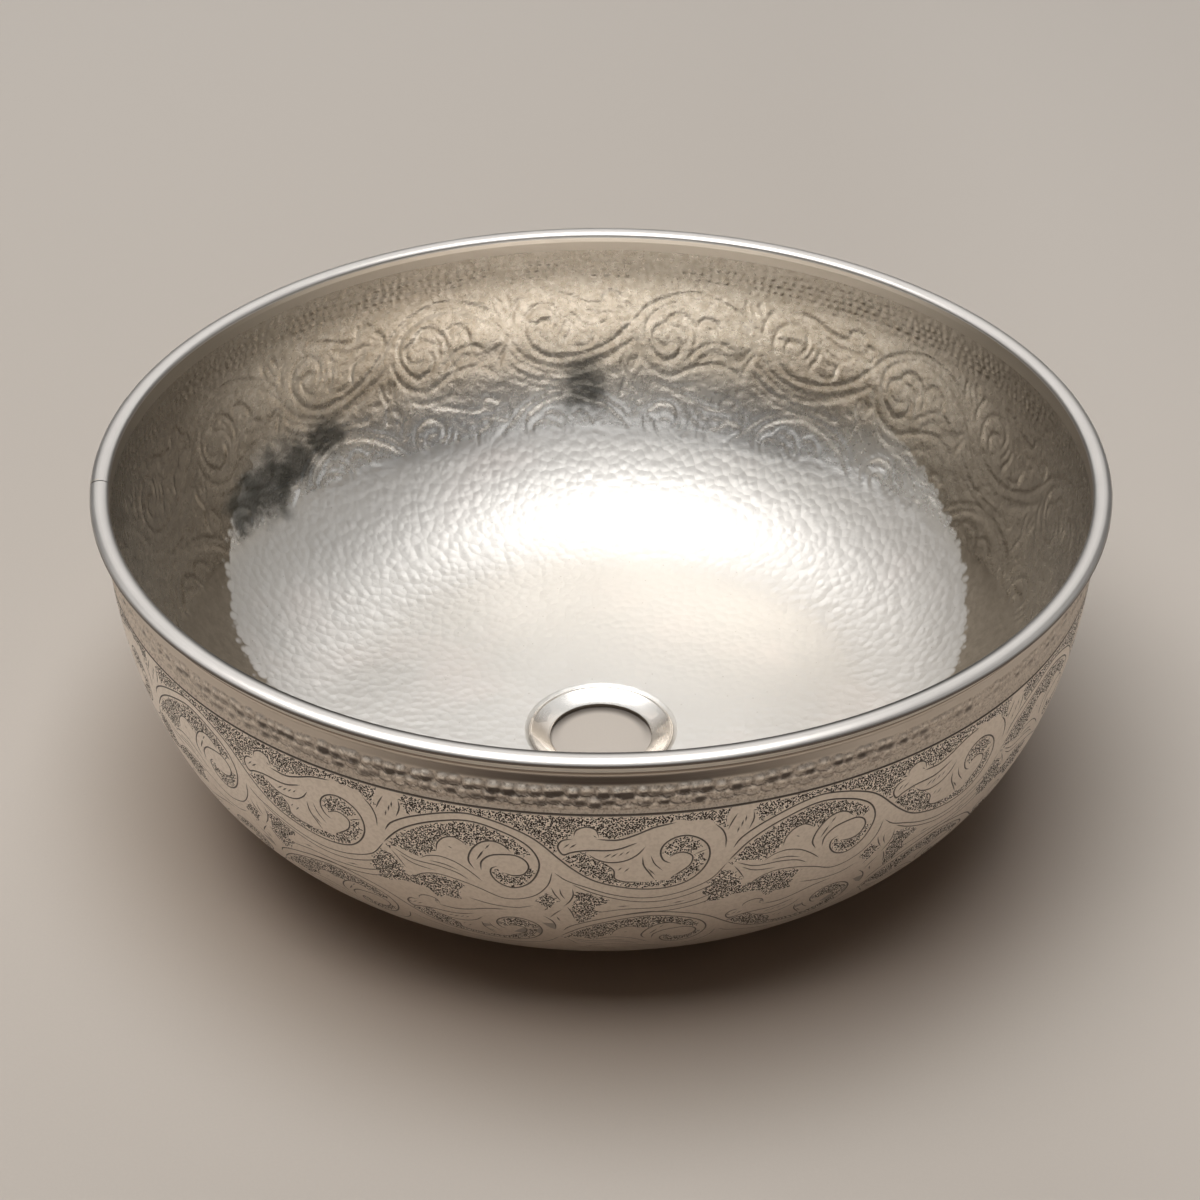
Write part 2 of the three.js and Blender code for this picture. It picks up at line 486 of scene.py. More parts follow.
def makeRimBead():
    low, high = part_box("rim_bead")
    outer, foot, crown = high.x / mm, low.z / mm, high.z / mm
    width = rimBead["width"]
    centre = (outer - width / 2, foot + rimBead["side"])
    size = (width / 2, crown - centre[1])
    outline = arc(centre, size, 0.0, 180.0, rimBead["crownPoints"])
    outline += [(outer - width, foot), (outer, foot)]
    gap = math.degrees(rimBead["jointWidth"] / centre[0])
    joint = rimBead["jointAngle"]
    bead = spinSection("rimBead", outline, rimBead["steps"], fullTurn - gap, joint + gap / 2)
    rideAs(bead, "polished_trim", "rim_bead")
    lap = math.degrees(rimBead["jointLap"] / outer)
    plug = spinSection("brazedJoint", outline, 2, gap - 2 * lap, joint - gap / 2 + lap)
    rideAs(plug, "solder", "bead_butt_joint")
    return bead, plug


rimChannel = {
    "stripThickness": 0.8,
    "innerLeg": 6.6,
    "outerLeg": 4.1,
    "round": 0.22,
    "grooveDepth": 0.12,
    "grooveWidth": 0.3,
    "grooveDrops": (2.1, 3.3),  # turned lines on the outer leg, below the web's top
    "steps": 400,
}


def makeRimChannel():
    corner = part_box("rim_channel")[1]
    top, outer = corner.z / mm, corner.x / mm
    gauge, curl = rimChannel["stripThickness"], rimChannel["round"]
    inner = shell["radius"] - shell["thickness"] - (outer - gauge - shell["radius"]) - gauge
    outerFoot = top - rimChannel["outerLeg"]
    innerFoot = top - rimChannel["innerLeg"]
    outline = [(inner, top), (outer, top)]
    half = rimChannel["grooveWidth"] / 2
    for drop in rimChannel["grooveDrops"]:
        outline += [(outer, top - drop + half), (outer - rimChannel["grooveDepth"], top - drop)]
        outline += [(outer, top - drop - half)]
    outline += arc((outer - curl, outerFoot + curl), (curl, curl), 0.0, -90.0, 5)
    outline += [(outer - gauge, outerFoot), (outer - gauge, top - gauge), (inner + gauge, top - gauge)]
    outline += [(inner + gauge, innerFoot)]
    outline += arc((inner + curl, innerFoot + curl), (curl, curl), -90.0, -180.0, 5)
    channel = spinSection("rimChannel", outline, rimChannel["steps"])
    rideAs(channel, "turned_strip", "rim_channel")
    return channel


solderSeams = {
    # by node: the piece's name, the fillet's width, how far its face sinks in, and the steps round
    "rim_solder_seam": {"name": "rimSolder", "width": 0.85, "sink": 0.132, "steps": 300},
    "bead_solder_seam": {"name": "beadSolder", "width": 1.2, "sink": 0.2, "steps": 300},
    "drain_solder_seam": {"name": "drainSolder", "width": 1.15, "sink": 0.15, "steps": 180},
}


def makeSeam(node):
    # a fillet that fills the corner at its upper inner side, with a hollow face
    facts = solderSeams[node]
    low, high = (corner.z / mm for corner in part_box(node))
    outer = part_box(node)[1].x / mm
    outline = [(outer - facts["width"], high)]
    for share in np.linspace(0.0, 1.0, 9):
        dip = facts["sink"] * math.sin(math.pi * share)
        outline.append((outer - facts["width"] * share - dip, high + (low - high) * share + dip))
    seam = spinSection(facts["name"], outline, facts["steps"])
    rideAs(seam, "solder", node)
    return seam


drainRing = {
    "bore": 22.25,  # radius
    "spigotWall": 1.0,
    "spigotLift": 0.3,
    "seat": 1.8,  # height of the underside over the shell's seat
    "boreTop": 2.2,
    "lipRadius": 31.6,
    "lipTop": 5.7,
    "lipRound": 0.7,
    "dishPower": 1.25,
    "dishPoints": 22,
    "edgeRound": 0.18,
    "edgeRise": 2.2,  # the outer edge's foot, over the seat
    "chamfer": 1.0,
    "seatInset": 0.6,  # the underside's flat ends this far inside the shell's foot radius
    "steps": 240,
}


def makeDrainRing():
    facts = drainRing
    bore, lip, lipRound, seat = (facts[name] for name in ("bore", "lipRadius", "lipRound", "seat"))
    spigot = bore + facts["spigotWall"]
    lipCentre = (lip - lipRound, facts["lipTop"] - lipRound)
    first, last = bore + facts["edgeRound"], lip - 2 * lipRound
    outline = [(bore, facts["spigotLift"]), (bore, facts["boreTop"] - facts["edgeRound"])]
    for share in np.linspace(0.0, 1.0, facts["dishPoints"]):
        rise = (lipCentre[1] - facts["boreTop"]) * share ** facts["dishPower"]
        outline.append((first + (last - first) * share, facts["boreTop"] + rise))
    outline += arc(lipCentre, (lipRound, lipRound), 180.0, 0.0, 13)[1:]
    edge, chamfer = seat + facts["edgeRise"], facts["chamfer"]
    outline += [(lip, edge), (lip - chamfer, edge - chamfer)]
    outline += [(shell["footRadius"] - facts["seatInset"], seat), (spigot, seat)]
    outline += [(spigot, facts["spigotLift"])]
    ring = spinSection("drainRing", outline, facts["steps"])
    rideAs(ring, "polished_trim", "drain_ring")
    return ring


bead, plug = makeRimBead()
channel = makeRimChannel()
seams = [makeSeam(node) for node in solderSeams]
drain = makeDrainRing()
print("rim, seams and drain ring turned")


# the engraving, drawn for one repeat as on an unrolled strip: degrees round, units down from the rim

drawing = {
    "repeats": 10,
    "borderLine": 27.3,  # units down at which the chased border lies
    "unit": 1.015,  # mm to a unit
    "start": -18.0,  # degrees at which a repeat begins
    "end": 89.0,  # mm below the border where the engraving stops
    "lineWidth": 0.66,
    "lineDepth": 0.28,
    "longStep": 2.3,
    "curlStep": 1.5,
    "taper": 4.0,  # mm over which a stroke's end narrows
    "leafTaper": 3.0,
    "hatchTaper": 2.0,
    "hatchLimit": 70.0,  # units down, past which a hatch has no second row
    "secondRow": (18.3, 31.2, 80.0, 0.85),  # degrees on, from this unit, to this unit, height ratio
    "warpDegrees": 0.16,
    "warpDrop": 0.5,
}
oneRepeat = fullTurn / drawing["repeats"]
repeatStart = drawing["start"]

# one row of the running scroll: name, (degrees, units) points
scrollLines = {
    "stem": [(-22.6, 48.5), (-21.9, 44), (-20.2, 39.4), (-18, 35.6), (-15.6, 32.6), (-13.3, 31.3),
             (-11, 32.8), (-9.2, 35), (-7.3, 38.3), (-6, 42), (-4.5, 47.8), (-3, 53.3), (-1, 59),
             (1.2, 62.4), (4, 64.9), (6.6, 65.2), (8.8, 62.8), (10.3, 57.5), (11, 51), (10.8, 45),
             (9.9, 40.8), (8.5, 38.5), (7.2, 39.2), (6.2, 42.2), (5.9, 46), (6.3, 50), (7.1, 51.8)],
    "crest": [(-23, 55), (-22.2, 51.2), (-20.9, 46), (-19, 41.2), (-16.8, 37.6), (-14.2, 34.9),
              (-12.5, 34.9), (-10.4, 37), (-8.5, 40.2), (-7.1, 44.6), (-6.4, 51), (-6.8, 58),
              (-7.8, 63.3), (-9.3, 66), (-10.7, 64.3), (-11.5, 60), (-11.4, 56.6), (-10.7, 54.9)],
    "underStem": [(-4.9, 55.5), (-3.8, 59.3), (-1.6, 63.2), (1, 67.5), (4, 70.4), (6.6, 70.2),
                  (9.2, 67.6), (11.4, 63.2), (13, 55.2)],
    "underStemTwo": [(-3.2, 61.4), (-1.2, 66), (1.4, 70.2), (4.2, 73), (7, 73), (9.8, 70), (12.2, 65.2),
                     (13.4, 60)],
    "lowVeinOne": [(-0.6, 79.4), (2.4, 77.4), (6, 77.6), (9.4, 75.8), (12, 71.6), (13.6, 66.8)],
    "lowVeinTwo": [(1.4, 82.2), (4.4, 80.6), (7.6, 80), (10.6, 77.6), (13, 73.4)],
    "lowVeinThree": [(-14.4, 76.4), (-11.6, 78.6), (-9, 78.4), (-7.2, 75.8)],
    "curlBack": [(-5.1, 55), (-5.6, 62.5), (-7, 69.3), (-9, 72.7), (-10.6, 73), (-13, 69), (-15, 66.5),
                 (-17.5, 65.3), (-19.2, 67.3), (-20.3, 70.4), (-21.2, 71.3)],
    "leafEdge": [(-22.3, 57.6), (-21.6, 61.6), (-20.9, 66.4)],
    "midRib": [(-19.1, 58.6), (-18.2, 56.2), (-16.8, 55), (-15.2, 56.5), (-13.8, 60), (-12.5, 64.7)],
    "lobeOne": [(-17.1, 52.6), (-16.9, 48.4), (-16.1, 44.8), (-15, 43.6), (-14.3, 44.9), (-13.8, 46.6)],
    "lobeTwo": [(-13.2, 58.6), (-13.75, 54.4), (-13.3, 48.5), (-12.2, 43.9), (-11, 42.6), (-10, 43.8),
                (-9.2, 47)],
    "ballTop": [(-12.5, 58.6), (-12.4, 54), (-11.4, 50), (-10, 48.6), (-8.7, 48.5), (-7.8, 50.6),
                (-7.5, 54), (-8.1, 57.9), (-9.2, 59.1), (-10.2, 58)],
    "veinOne": [(-22, 56.2), (-20, 60), (-17, 60.6), (-15, 62.6), (-13.9, 65.4)],
    "veinTwo": [(-21.5, 59), (-20, 62.4), (-17.5, 63.6)],
    "veinThree": [(-18.2, 58.6), (-16.4, 58.9), (-14.8, 61)],
    "noseLobe": [(-2.9, 38.4), (-4, 39.4), (-4.45, 42.6), (-3.9, 46.2), (-3.2, 45), (-1.6, 43.7),
                 (1.3, 43.4), (3.6, 40.1)],
    "headLobe": [(-2.8, 37.4), (-2.6, 34.6), (-1.6, 32.7), (-0.6, 34), (-0.3, 37.8)],
    "leafBack": [(-0.6, 38.3), (1.6, 38.7), (3.2, 36.8), (5.2, 33.6), (7.5, 31.9)],
    "leafFold": [(-1.4, 45.3), (-0.7, 47.8), (0.6, 49.6), (2.3, 49), (3.6, 46), (4.4, 41.9)],
    "lowLobe": [(0.5, 50.7), (1.2, 54), (1.3, 58.2), (2.3, 60.2), (4, 60.7)],
    "bodyOne": [(4.1, 46.8), (4.2, 51.5), (5, 57), (5.5, 60.3)],
    "bodyTwo": [(4.9, 46.4), (5.3, 51), (6.3, 55.6)],
    "ballA": [(6.8, 48.6), (7.5, 46.8), (8.3, 46.6), (9.2, 49), (9.1, 53), (8.2, 56.5), (7.2, 58.9)],
    "tongueOne": [(9.3, 48.4), (10.8, 46.4)],
    "curlSide": [(11.3, 34.4), (12.2, 38.2), (12.6, 42.5), (12.6, 47.4)],
    "pairLeft": [(-5.3, 63.8), (-5, 67.5), (-4.3, 72)],
    "pairMid": [(-4.4, 64), (-4.3, 67.4), (-3.85, 70.8)],
    "pairRight": [(-3.1, 63.8), (-3, 68), (-3.4, 72), (-4.1, 75.6)],
    "pairFoot": [(-3.7, 75.4), (-3.2, 79.5), (-2.9, 84.5)],
    "pairBase": [(-4.2, 77.2), (-5.1, 81), (-5.7, 84.4)],
}

borderLeaf = {
    "leafLeft": [(-22.3, 31), (-22.9, 35), (-23.3, 38.5)],
    "leafRight": [(-20.7, 31.2), (-20.6, 35), (-21.1, 40)],
}

hatches = [  # short cuts: from, to
    (-12.9, 53.4, -12, 47.6), (-11.9, 47.2, -11.3, 44.2), (-15.8, 48.6, -15.3, 49.6),
    (-3.9, 42.9, -3.2, 40.4), (-3.35, 43, -2.5, 40.4), (-0.9, 36.4, -0.5, 37.6), (0.1, 47.4, 1, 44.9),
    (0.8, 47.4, 1.6, 44.8), (1.6, 46.6, 2.2, 44.4), (2.3, 45.9, 2.8, 43.9), (1.6, 54, 2, 52.2),
    (2.2, 55, 2.8, 52.5), (4.6, 53.2, 5.5, 57.5), (-2.9, 73.6, -1.2, 73), (7.4, 75.6, 9, 74.4),
    (1.6, 75.4, 3, 75.2), (-4.9, 82.6, -4.5, 86.5),
]
borderHatches = [(-21.5, 36, -21.4, 32.6), (-21.9, 38.2, -21.7, 34.6), (-22.3, 40.8, -22.1, 37.6)]

# stippled grounds: closed by points, in the same drawing
grounds = {
    "underLeaf": [(-4.1, 48), (-3.3, 46.4), (-1.8, 44.6), (-1, 48), (0.4, 50.6), (1, 54), (1.1, 58.3),
                  (2.2, 60.9), (4, 61.1), (7, 60.8), (7.4, 58.8), (8.5, 56.6), (9.4, 53), (9.5, 49),
                  (10.5, 47.7), (10.5, 52), (9.9, 57.4), (8.6, 61.8), (6.6, 64.2), (4, 64), (1.3, 61.6),
                  (-0.9, 58.2), (-2.8, 52.6)],
    "eyeA": [(6.9, 48), (6.3, 47), (6.5, 42.5), (7.4, 39.9), (8.5, 39.3), (9.6, 41.5), (10.3, 45.4),
             (9.3, 47.2), (8.3, 45.9), (7.4, 46.1)],
    "overLeaf": [(-22.7, 56.6), (-21.8, 51.6), (-20.5, 46.6), (-18.7, 42), (-16.6, 38.5), (-14.1, 35.8),
                 (-12.6, 35.8), (-10.6, 37.8), (-8.8, 41), (-7.5, 45), (-7.1, 48.6), (-8.6, 47.7),
                 (-9, 46.4), (-9.9, 43.2), (-11, 41.9), (-12.3, 43.2), (-13.3, 46.6), (-13.9, 45.8),
                 (-14.3, 44), (-15, 42.9), (-16.3, 44.2), (-17.1, 48), (-17.4, 53.4), (-18.6, 55.6),
                 (-19.4, 58), (-20.6, 56.4), (-21.8, 55.3)],
    "eyeB": [(-10.6, 56), (-10.5, 58.6), (-9.2, 60), (-7.9, 58.6), (-7.2, 54), (-6.8, 54), (-7.2, 58.6),
             (-8.1, 63), (-9.3, 65.2), (-10.5, 63.6), (-11.2, 60), (-11.1, 57)],
    "besideLeaf": [(-23.5, 59.6), (-22.5, 59.6), (-21.9, 62.6), (-21.3, 66.6), (-21, 70.4),
                   (-20.1, 69.2), (-19, 67.7), (-17.5, 66.2), (-15.6, 67.2), (-14.1, 69), (-15.4, 73),
                   (-15.2, 78.6), (-18.4, 79.2), (-19.2, 76), (-21.4, 75), (-23.4, 77.6), (-25.4, 77.8),
                   (-24.4, 75), (-25.6, 71.6), (-24.8, 66)],
    "pairGroundLeft": [(-6.8, 70.8), (-5.8, 67), (-5.2, 69), (-4.7, 73), (-5.4, 77.4), (-6.4, 80.4),
                       (-6, 77), (-6.9, 74)],
    "pairGroundRight": [(-2.8, 65), (-1, 67.6), (1, 71), (0.3, 74.4), (-0.8, 76.4), (-0.2, 80),
                        (-1.2, 84.5), (-2.6, 87.6), (-2.9, 80), (-3.4, 75.4), (-2.8, 70.6)],
}
borderGround = [(-20.4, 28.9), (-8, 28.6), (4, 28.6), (12.7, 28.6), (12.9, 31.5), (12.4, 36.5),
                (11.3, 33.6), (9.3, 32), (7.4, 31.1), (5, 32.9), (3, 36), (1.5, 37.9), (0, 37.6),
                (-0.4, 34), (-1.6, 31.9), (-2.8, 34.2), (-3.1, 37.4), (-4.3, 38.8), (-4.8, 42.6),
                (-4.5, 45.8), (-5.7, 41.6), (-7, 37.6), (-9, 34.2), (-11, 31.8), (-13.3, 30.4),
                (-15.8, 31.8), (-18.2, 34.6), (-20.2, 37.4)]
secondRowGrounds = ("underLeaf", "eyeA", "overLeaf", "eyeB")
firstRowOnly = ("pairLeft", "pairMid", "pairRight", "pairFoot", "pairBase", "underStemTwo", "lowVeinOne",
                "lowVeinTwo", "lowVeinThree")


def onStrip(points):
    # degrees and mm below the border
    flat = np.array(points, float)
    return np.stack([flat[:, 0], (flat[:, 1] - drawing["borderLine"]) * drawing["unit"]], -1)


def toSecondRow(points):
    on, origin, target, ratio = drawing["secondRow"]
    flat = np.array(points, float)
    return np.stack([flat[:, 0] + on, target + (flat[:, 1] - origin) * ratio], -1)


def mmPerDegree(drop):
    return outside.at(drop)[0] * math.pi / 180.0


def slide(t, low, high, before, after):
    return (high - t) / (high - low) * before + (t - low) / (high - low) * after


def runLength(steps):
    return np.concatenate([[0.0], np.cumsum(steps)])


def flow(points):
    # stations along a smooth curve through the points, closer together on tight curls
    roundMm = mmPerDegree(points[:, 1].mean())
    flat = points * (roundMm, 1.0)
    if len(flat) == 2:
        fine = np.linspace(flat[0], flat[1], 12)
    else:
        padded = np.concatenate([[2 * flat[0] - flat[1]], flat, [2 * flat[-1] - flat[-2]]])
        knots = runLength(np.sqrt(np.hypot(*np.diff(padded, axis=0).T)))
        runs = []
        for here in range(1, len(padded) - 2):
            t0, t1, t2, t3 = knots[here - 1:here + 3]
            p0, p1, p2, p3 = padded[here - 1:here + 3]
            t = np.linspace(t1, t2, 16, endpoint=False)[:, None]
            early = slide(t, t0, t2, slide(t, t0, t1, p0, p1), slide(t, t1, t2, p1, p2))
            late = slide(t, t1, t3, slide(t, t1, t2, p1, p2), slide(t, t2, t3, p2, p3))
            runs.append(slide(t, t1, t2, early, late))
        fine = np.concatenate(runs + [flat[-1:]])
    along = np.diff(fine, axis=0)
    lengths = np.hypot(*along.T)
    heading = np.unwrap(np.arctan2(along[:, 1], along[:, 0]))
    bend = np.abs(np.gradient(heading)) / np.maximum(lengths, 1e-6)
    cost = runLength(lengths * (1.0 / drawing["longStep"] + drawing["curlStep"] * bend))
    count = max(3, int(round(cost[-1])) + 1)
    even = np.linspace(0.0, cost[-1], count)
    stations = np.stack([np.interp(even, cost, fine[:, axis]) for axis in (0, 1)], -1)
    return stations / (roundMm, 1.0)


def cutStroke(points, width, taper):
    # centre stations, half widths, and the two rims
    centre = flow(points)
    roundMm = mmPerDegree(centre[:, 1])[:, None] ** (1.0, 0.0)
    flat = centre * roundMm
    lengths = runLength(np.hypot(*np.diff(flat, axis=0).T))
    nearEnd = np.minimum(lengths, lengths[-1] - lengths)
    half = width / 2 * np.minimum(1.0, nearEnd / taper) ** 0.6
    along = np.gradient(flat, axis=0)
    along /= np.hypot(*along.T)[:, None]
    side = np.stack([-along[:, 1], along[:, 0]], -1) * half[:, None]
    return centre, half, centre + side / roundMm, centre - side / roundMm


boldStrokes = ("stem", "crest", "noseLobe", "lobeTwo", "ballTop", "leafBack")
faintStrokes = ("veinOne", "veinTwo", "veinThree", "bodyTwo", "leafEdge", "underStem", "curlBack", "midRib",
                "underStemTwo", "lowVeinOne", "lowVeinTwo", "lowVeinThree")


def drawnStrokes():
    strokes = []

    def add(points, share, taper):
        strokes.append(cutStroke(onStrip(points), drawing["lineWidth"] * share, taper))

    for name, points in scrollLines.items():
        share = 1.15 if name in boldStrokes else 0.8 if name in faintStrokes else 1.0
        add(points, share, drawing["taper"])
        if name not in firstRowOnly:
            add(toSecondRow(points), share * 0.9, drawing["taper"])
    for points in borderLeaf.values():
        add(points, 1.0, drawing["leafTaper"])
    for hatch in hatches:
        ends = (hatch[:2], hatch[2:])
        add(ends, 1.1, drawing["hatchTaper"])
        if hatch[1] < drawing["hatchLimit"]:
            add(toSecondRow(ends), 0.9, drawing["hatchTaper"])
    for hatch in borderHatches:
        add((hatch[:2], hatch[2:]), 1.2, drawing["hatchTaper"])
    return strokes


def drawnGrounds():
    outlines = [onStrip(points) for points in grounds.values()] + [onStrip(borderGround)]
    outlines += [onStrip(toSecondRow(grounds[name])) for name in secondRowGrounds]
    return outlines


def within(points, outline):
    # even-odd test of many points in one closed outline
    x, y = points[:, 0], points[:, 1]
    hit = np.zeros(len(points), bool)
    for (ax, ay), (bx, by) in zip(outline, np.roll(outline, -1, axis=0)):
        crosses = (ay > y) != (by > y)
        crossing = ax + (y - ay) / (by - ay + 1e-12) * (bx - ax)
        hit ^= crosses & (x < crossing)
    return hit


def withinAny(points, outlines):
    hit = np.zeros(len(points), bool)
    for outline in outlines:
        for shift in (-oneRepeat, 0.0, oneRepeat):
            hit |= within(points, outline + (shift, 0.0))
    return hit


def strokeSegments(strokes):
    # every stroke's short lengths, with its neighbours' repeats, as flat arrays
    starts, ends, widths = [], [], []
    for centre, half, _, _ in strokes:
        for shift in (-oneRepeat, 0.0, oneRepeat):
            starts.append(centre[:-1] + (shift, 0.0))
            ends.append(centre[1:] + (shift, 0.0))
            widths.append(np.stack([half[:-1], half[1:]], -1))
    starts, ends, widths = (np.concatenate(parts) for parts in (starts, ends, widths))
    keep = (starts[:, 0] > repeatStart - 4.0) & (starts[:, 0] < repeatStart + oneRepeat + 4.0)
    return starts[keep], ends[keep], widths[keep]


def nearestCut(points, segments, reach):
    # at each point, the most that reach gives for any cut, from its distance and its half width there
    starts, ends, widths = segments
    best = np.zeros(len(points))
    for low in range(0, len(points), 2000):
        part = points[low:low + 2000]
        roundMm = mmPerDegree(part[:, 1])[:, None]
        ax = (part[:, None, 0] - starts[None, :, 0]) * roundMm
        ay = part[:, None, 1] - starts[None, :, 1]
        bx = (ends - starts)[None, :, 0] * roundMm
        by = (ends - starts)[None, :, 1]
        t = np.clip((ax * bx + ay * by) / (bx * bx + by * by + 1e-9), 0.0, 1.0)
        away = np.hypot(ax - t * bx, ay - t * by)
        half = widths[None, :, 0] * (1 - t) + widths[None, :, 1] * t
        best[low:low + 2000] = reach(away, half).max(axis=1)
    return best


strokes = drawnStrokes()
groundOutlines = drawnGrounds()
segments = strokeSegments(strokes)
print("engraving drawn:", len(strokes), "cuts and", len(segments[0]), "lengths")


def warpRepeats(degrees, drop):
    # a hand's unevenness from repeat to repeat, none at the border and the last line
    turn = np.radians(degrees)
    share = np.clip(drop / drawing["end"], 0.0, 1.0)
    fade = np.sin(math.pi * share) ** 0.5
    sway = np.sin(3 * turn + 0.7) + 0.6 * np.sin(7 * turn + 2.0 + 0.03 * drop)
    lift = np.sin(4 * turn + 2.1) + 0.7 * np.sin(9 * turn + 0.4 + 0.05 * drop)
    return degrees + drawing["warpDegrees"] * sway * fade, drop + drawing["warpDrop"] * lift * fade


engraved = {
    "top": 0.85,  # mm below the border where the engraved field starts
    "columns": 360,
    "fieldSpacing": 4.4,
    "groundSpacing": 1.2,
    "groundDepth": 0.22,
    "fieldShake": 0.12,  # how far points stray, as a share of their spacing
    "groundShake": 0.22,
    "fieldMargin": 1.5,  # mm that points keep clear of the cuts' sides
    "groundMargin": 0.55,
    "rowGap": 3.6,  # from the field's end to the first plain row below it
    "rowSpacing": 4.2,
    "footReach": 12.0,  # the last stretch down to the drain hole, in closer rows
    "footRows": 9,
    "backRows": 26,
    "seed": 7,
    "borderCut": ((0.0, 0.34), (0.3, 0.3), (0.6, 0.06)),  # drop and depth of the border line's lower side
}


def hexPoints(spacing, jitter, low, high, draw):
    # a jittered triangular pattern over one repeat
    rows = []
    drop, odd = low, 0
    while drop < high:
        count = int(oneRepeat / (spacing / mmPerDegree(drop)))
        row = repeatStart + (np.arange(count) + 0.25 + 0.5 * odd) * oneRepeat / count
        rows.append(np.stack([row, np.full(count, drop)], -1))
        drop += spacing * 0.866
        odd = 1 - odd
    points = np.concatenate(rows)
    shake = draw.uniform(-jitter, jitter, points.shape) * spacing
    shake[:, 0] /= mmPerDegree(points[:, 1])
    points = points + shake
    keep = (points[:, 0] > repeatStart + 0.12) & (points[:, 0] < repeatStart + oneRepeat - 0.12)
    keep &= (points[:, 1] > low + 0.3) & (points[:, 1] < high - 0.3)
    return points[keep]


def clearOf(margin):
    # nothing where a point is farther than the margin from a cut's side
    return lambda away, half: np.maximum(0.0, 1.0 - away / (half + margin))


def grooveDepth(away, half):
    return np.maximum(0.0, 1.0 - away / np.maximum(half, 0.02)) * np.minimum(1.0, half / 0.2)


def engraveRepeat():
    # triangles of one repeat: places, depths, and which faces are cut or ground
    draw = np.random.default_rng(engraved["seed"])
    start, end = repeatStart, repeatStart + oneRepeat
    top, bottom = engraved["top"], drawing["end"]
    places, edges = [], []

    def addRun(points):
        first = len(places)
        places.extend(points.tolist())
        edges.extend((first + i, first + i + 1) for i in range(len(points) - 1))

    for centre, half, left, right in strokes:
        for shift in (-oneRepeat, 0.0, oneRepeat):
            moved = [run + (shift, 0.0) for run in (centre, left, right)]
            if moved[0][:, 0].max() > start - 1.0 and moved[0][:, 0].min() < end + 1.0:
                for run in moved:
                    addRun(run)
    columns = engraved["columns"] // drawing["repeats"]
    for drop in (top, bottom):
        addRun(np.stack([np.linspace(start, end, columns + 1), np.full(columns + 1, drop)], -1))
    sideSteps = np.linspace(top, bottom, 36)
    for side in (start, end):
        addRun(np.stack([np.full(len(sideSteps), side), sideSteps], -1))
    cutCount = len(places)

    ground = hexPoints(engraved["groundSpacing"], engraved["groundShake"], top, bottom, draw)
    ground = ground[withinAny(ground, groundOutlines)]
    ground = ground[nearestCut(ground, segments, clearOf(engraved["groundMargin"])) <= 0.0]
    groundCount = len(ground)
    field = hexPoints(engraved["fieldSpacing"], engraved["fieldShake"], top, bottom, draw)
    field = field[~withinAny(field, groundOutlines)]
    field = field[nearestCut(field, segments, clearOf(engraved["fieldMargin"])) <= 0.0]
    places.extend(ground.tolist())
    places.extend(field.tolist())

    toFlat = 3.0  # rough mm to a degree, so that the triangles come out even
    flat = [Vector((degrees * toFlat, drop)) for degrees, drop in places]
    made = geometry.delaunay_2d_cdt(flat, edges, [], 0, 1e-5, True)
    points = np.array([(v.x / toFlat, v.y) for v in made[0]])
    faces = np.array(made[2])
    isGround = np.array([any(cutCount <= i < cutCount + groundCount for i in ids) for ids in made[3]])
    centres = points[faces].mean(axis=1)
    keep = (centres[:, 0] > start) & (centres[:, 0] < end) & (centres[:, 1] > top) & (centres[:, 1] < bottom)
    faces, centres = faces[keep], centres[keep]
    used = np.unique(faces)
    renumber = np.full(len(points), -1)
    renumber[used] = np.arange(len(used))
    points, isGround, faces = points[used], isGround[used], renumber[faces]

    cut = nearestCut(points, segments, grooveDepth)
    cut[isGround] = 0.0
    cut[cut < 0.04] = 0.0
    faceCut = cut[faces].max(axis=1) > 0.0
    faceGround = withinAny(centres, groundOutlines) & ~faceCut
    depth = cut * drawing["lineDepth"]
    depth[isGround] = engraved["groundDepth"] * draw.uniform(0.1, 1.0, isGround.sum())
    return points, faces, depth, cut, faceCut, faceGround


def mergeRepeats(points, faces):
    # turns the repeat round the bowl and welds the shared edges
    count = drawing["repeats"]
    allPoints = np.concatenate([points + (oneRepeat * n, 0.0) for n in range(count)])
    allFaces = np.concatenate([faces + len(points) * n for n in range(count)])
    turned = np.mod(allPoints[:, 0] - repeatStart + 0.0005, fullTurn)
    key = np.stack([np.round(turned, 3), np.round(allPoints[:, 1], 3)], -1)
    key = np.round(key * 1000).astype(np.int64)
    _, first, back = np.unique(key, axis=0, return_index=True, return_inverse=True)
    return allPoints[first], back.reshape(-1)[allFaces], first


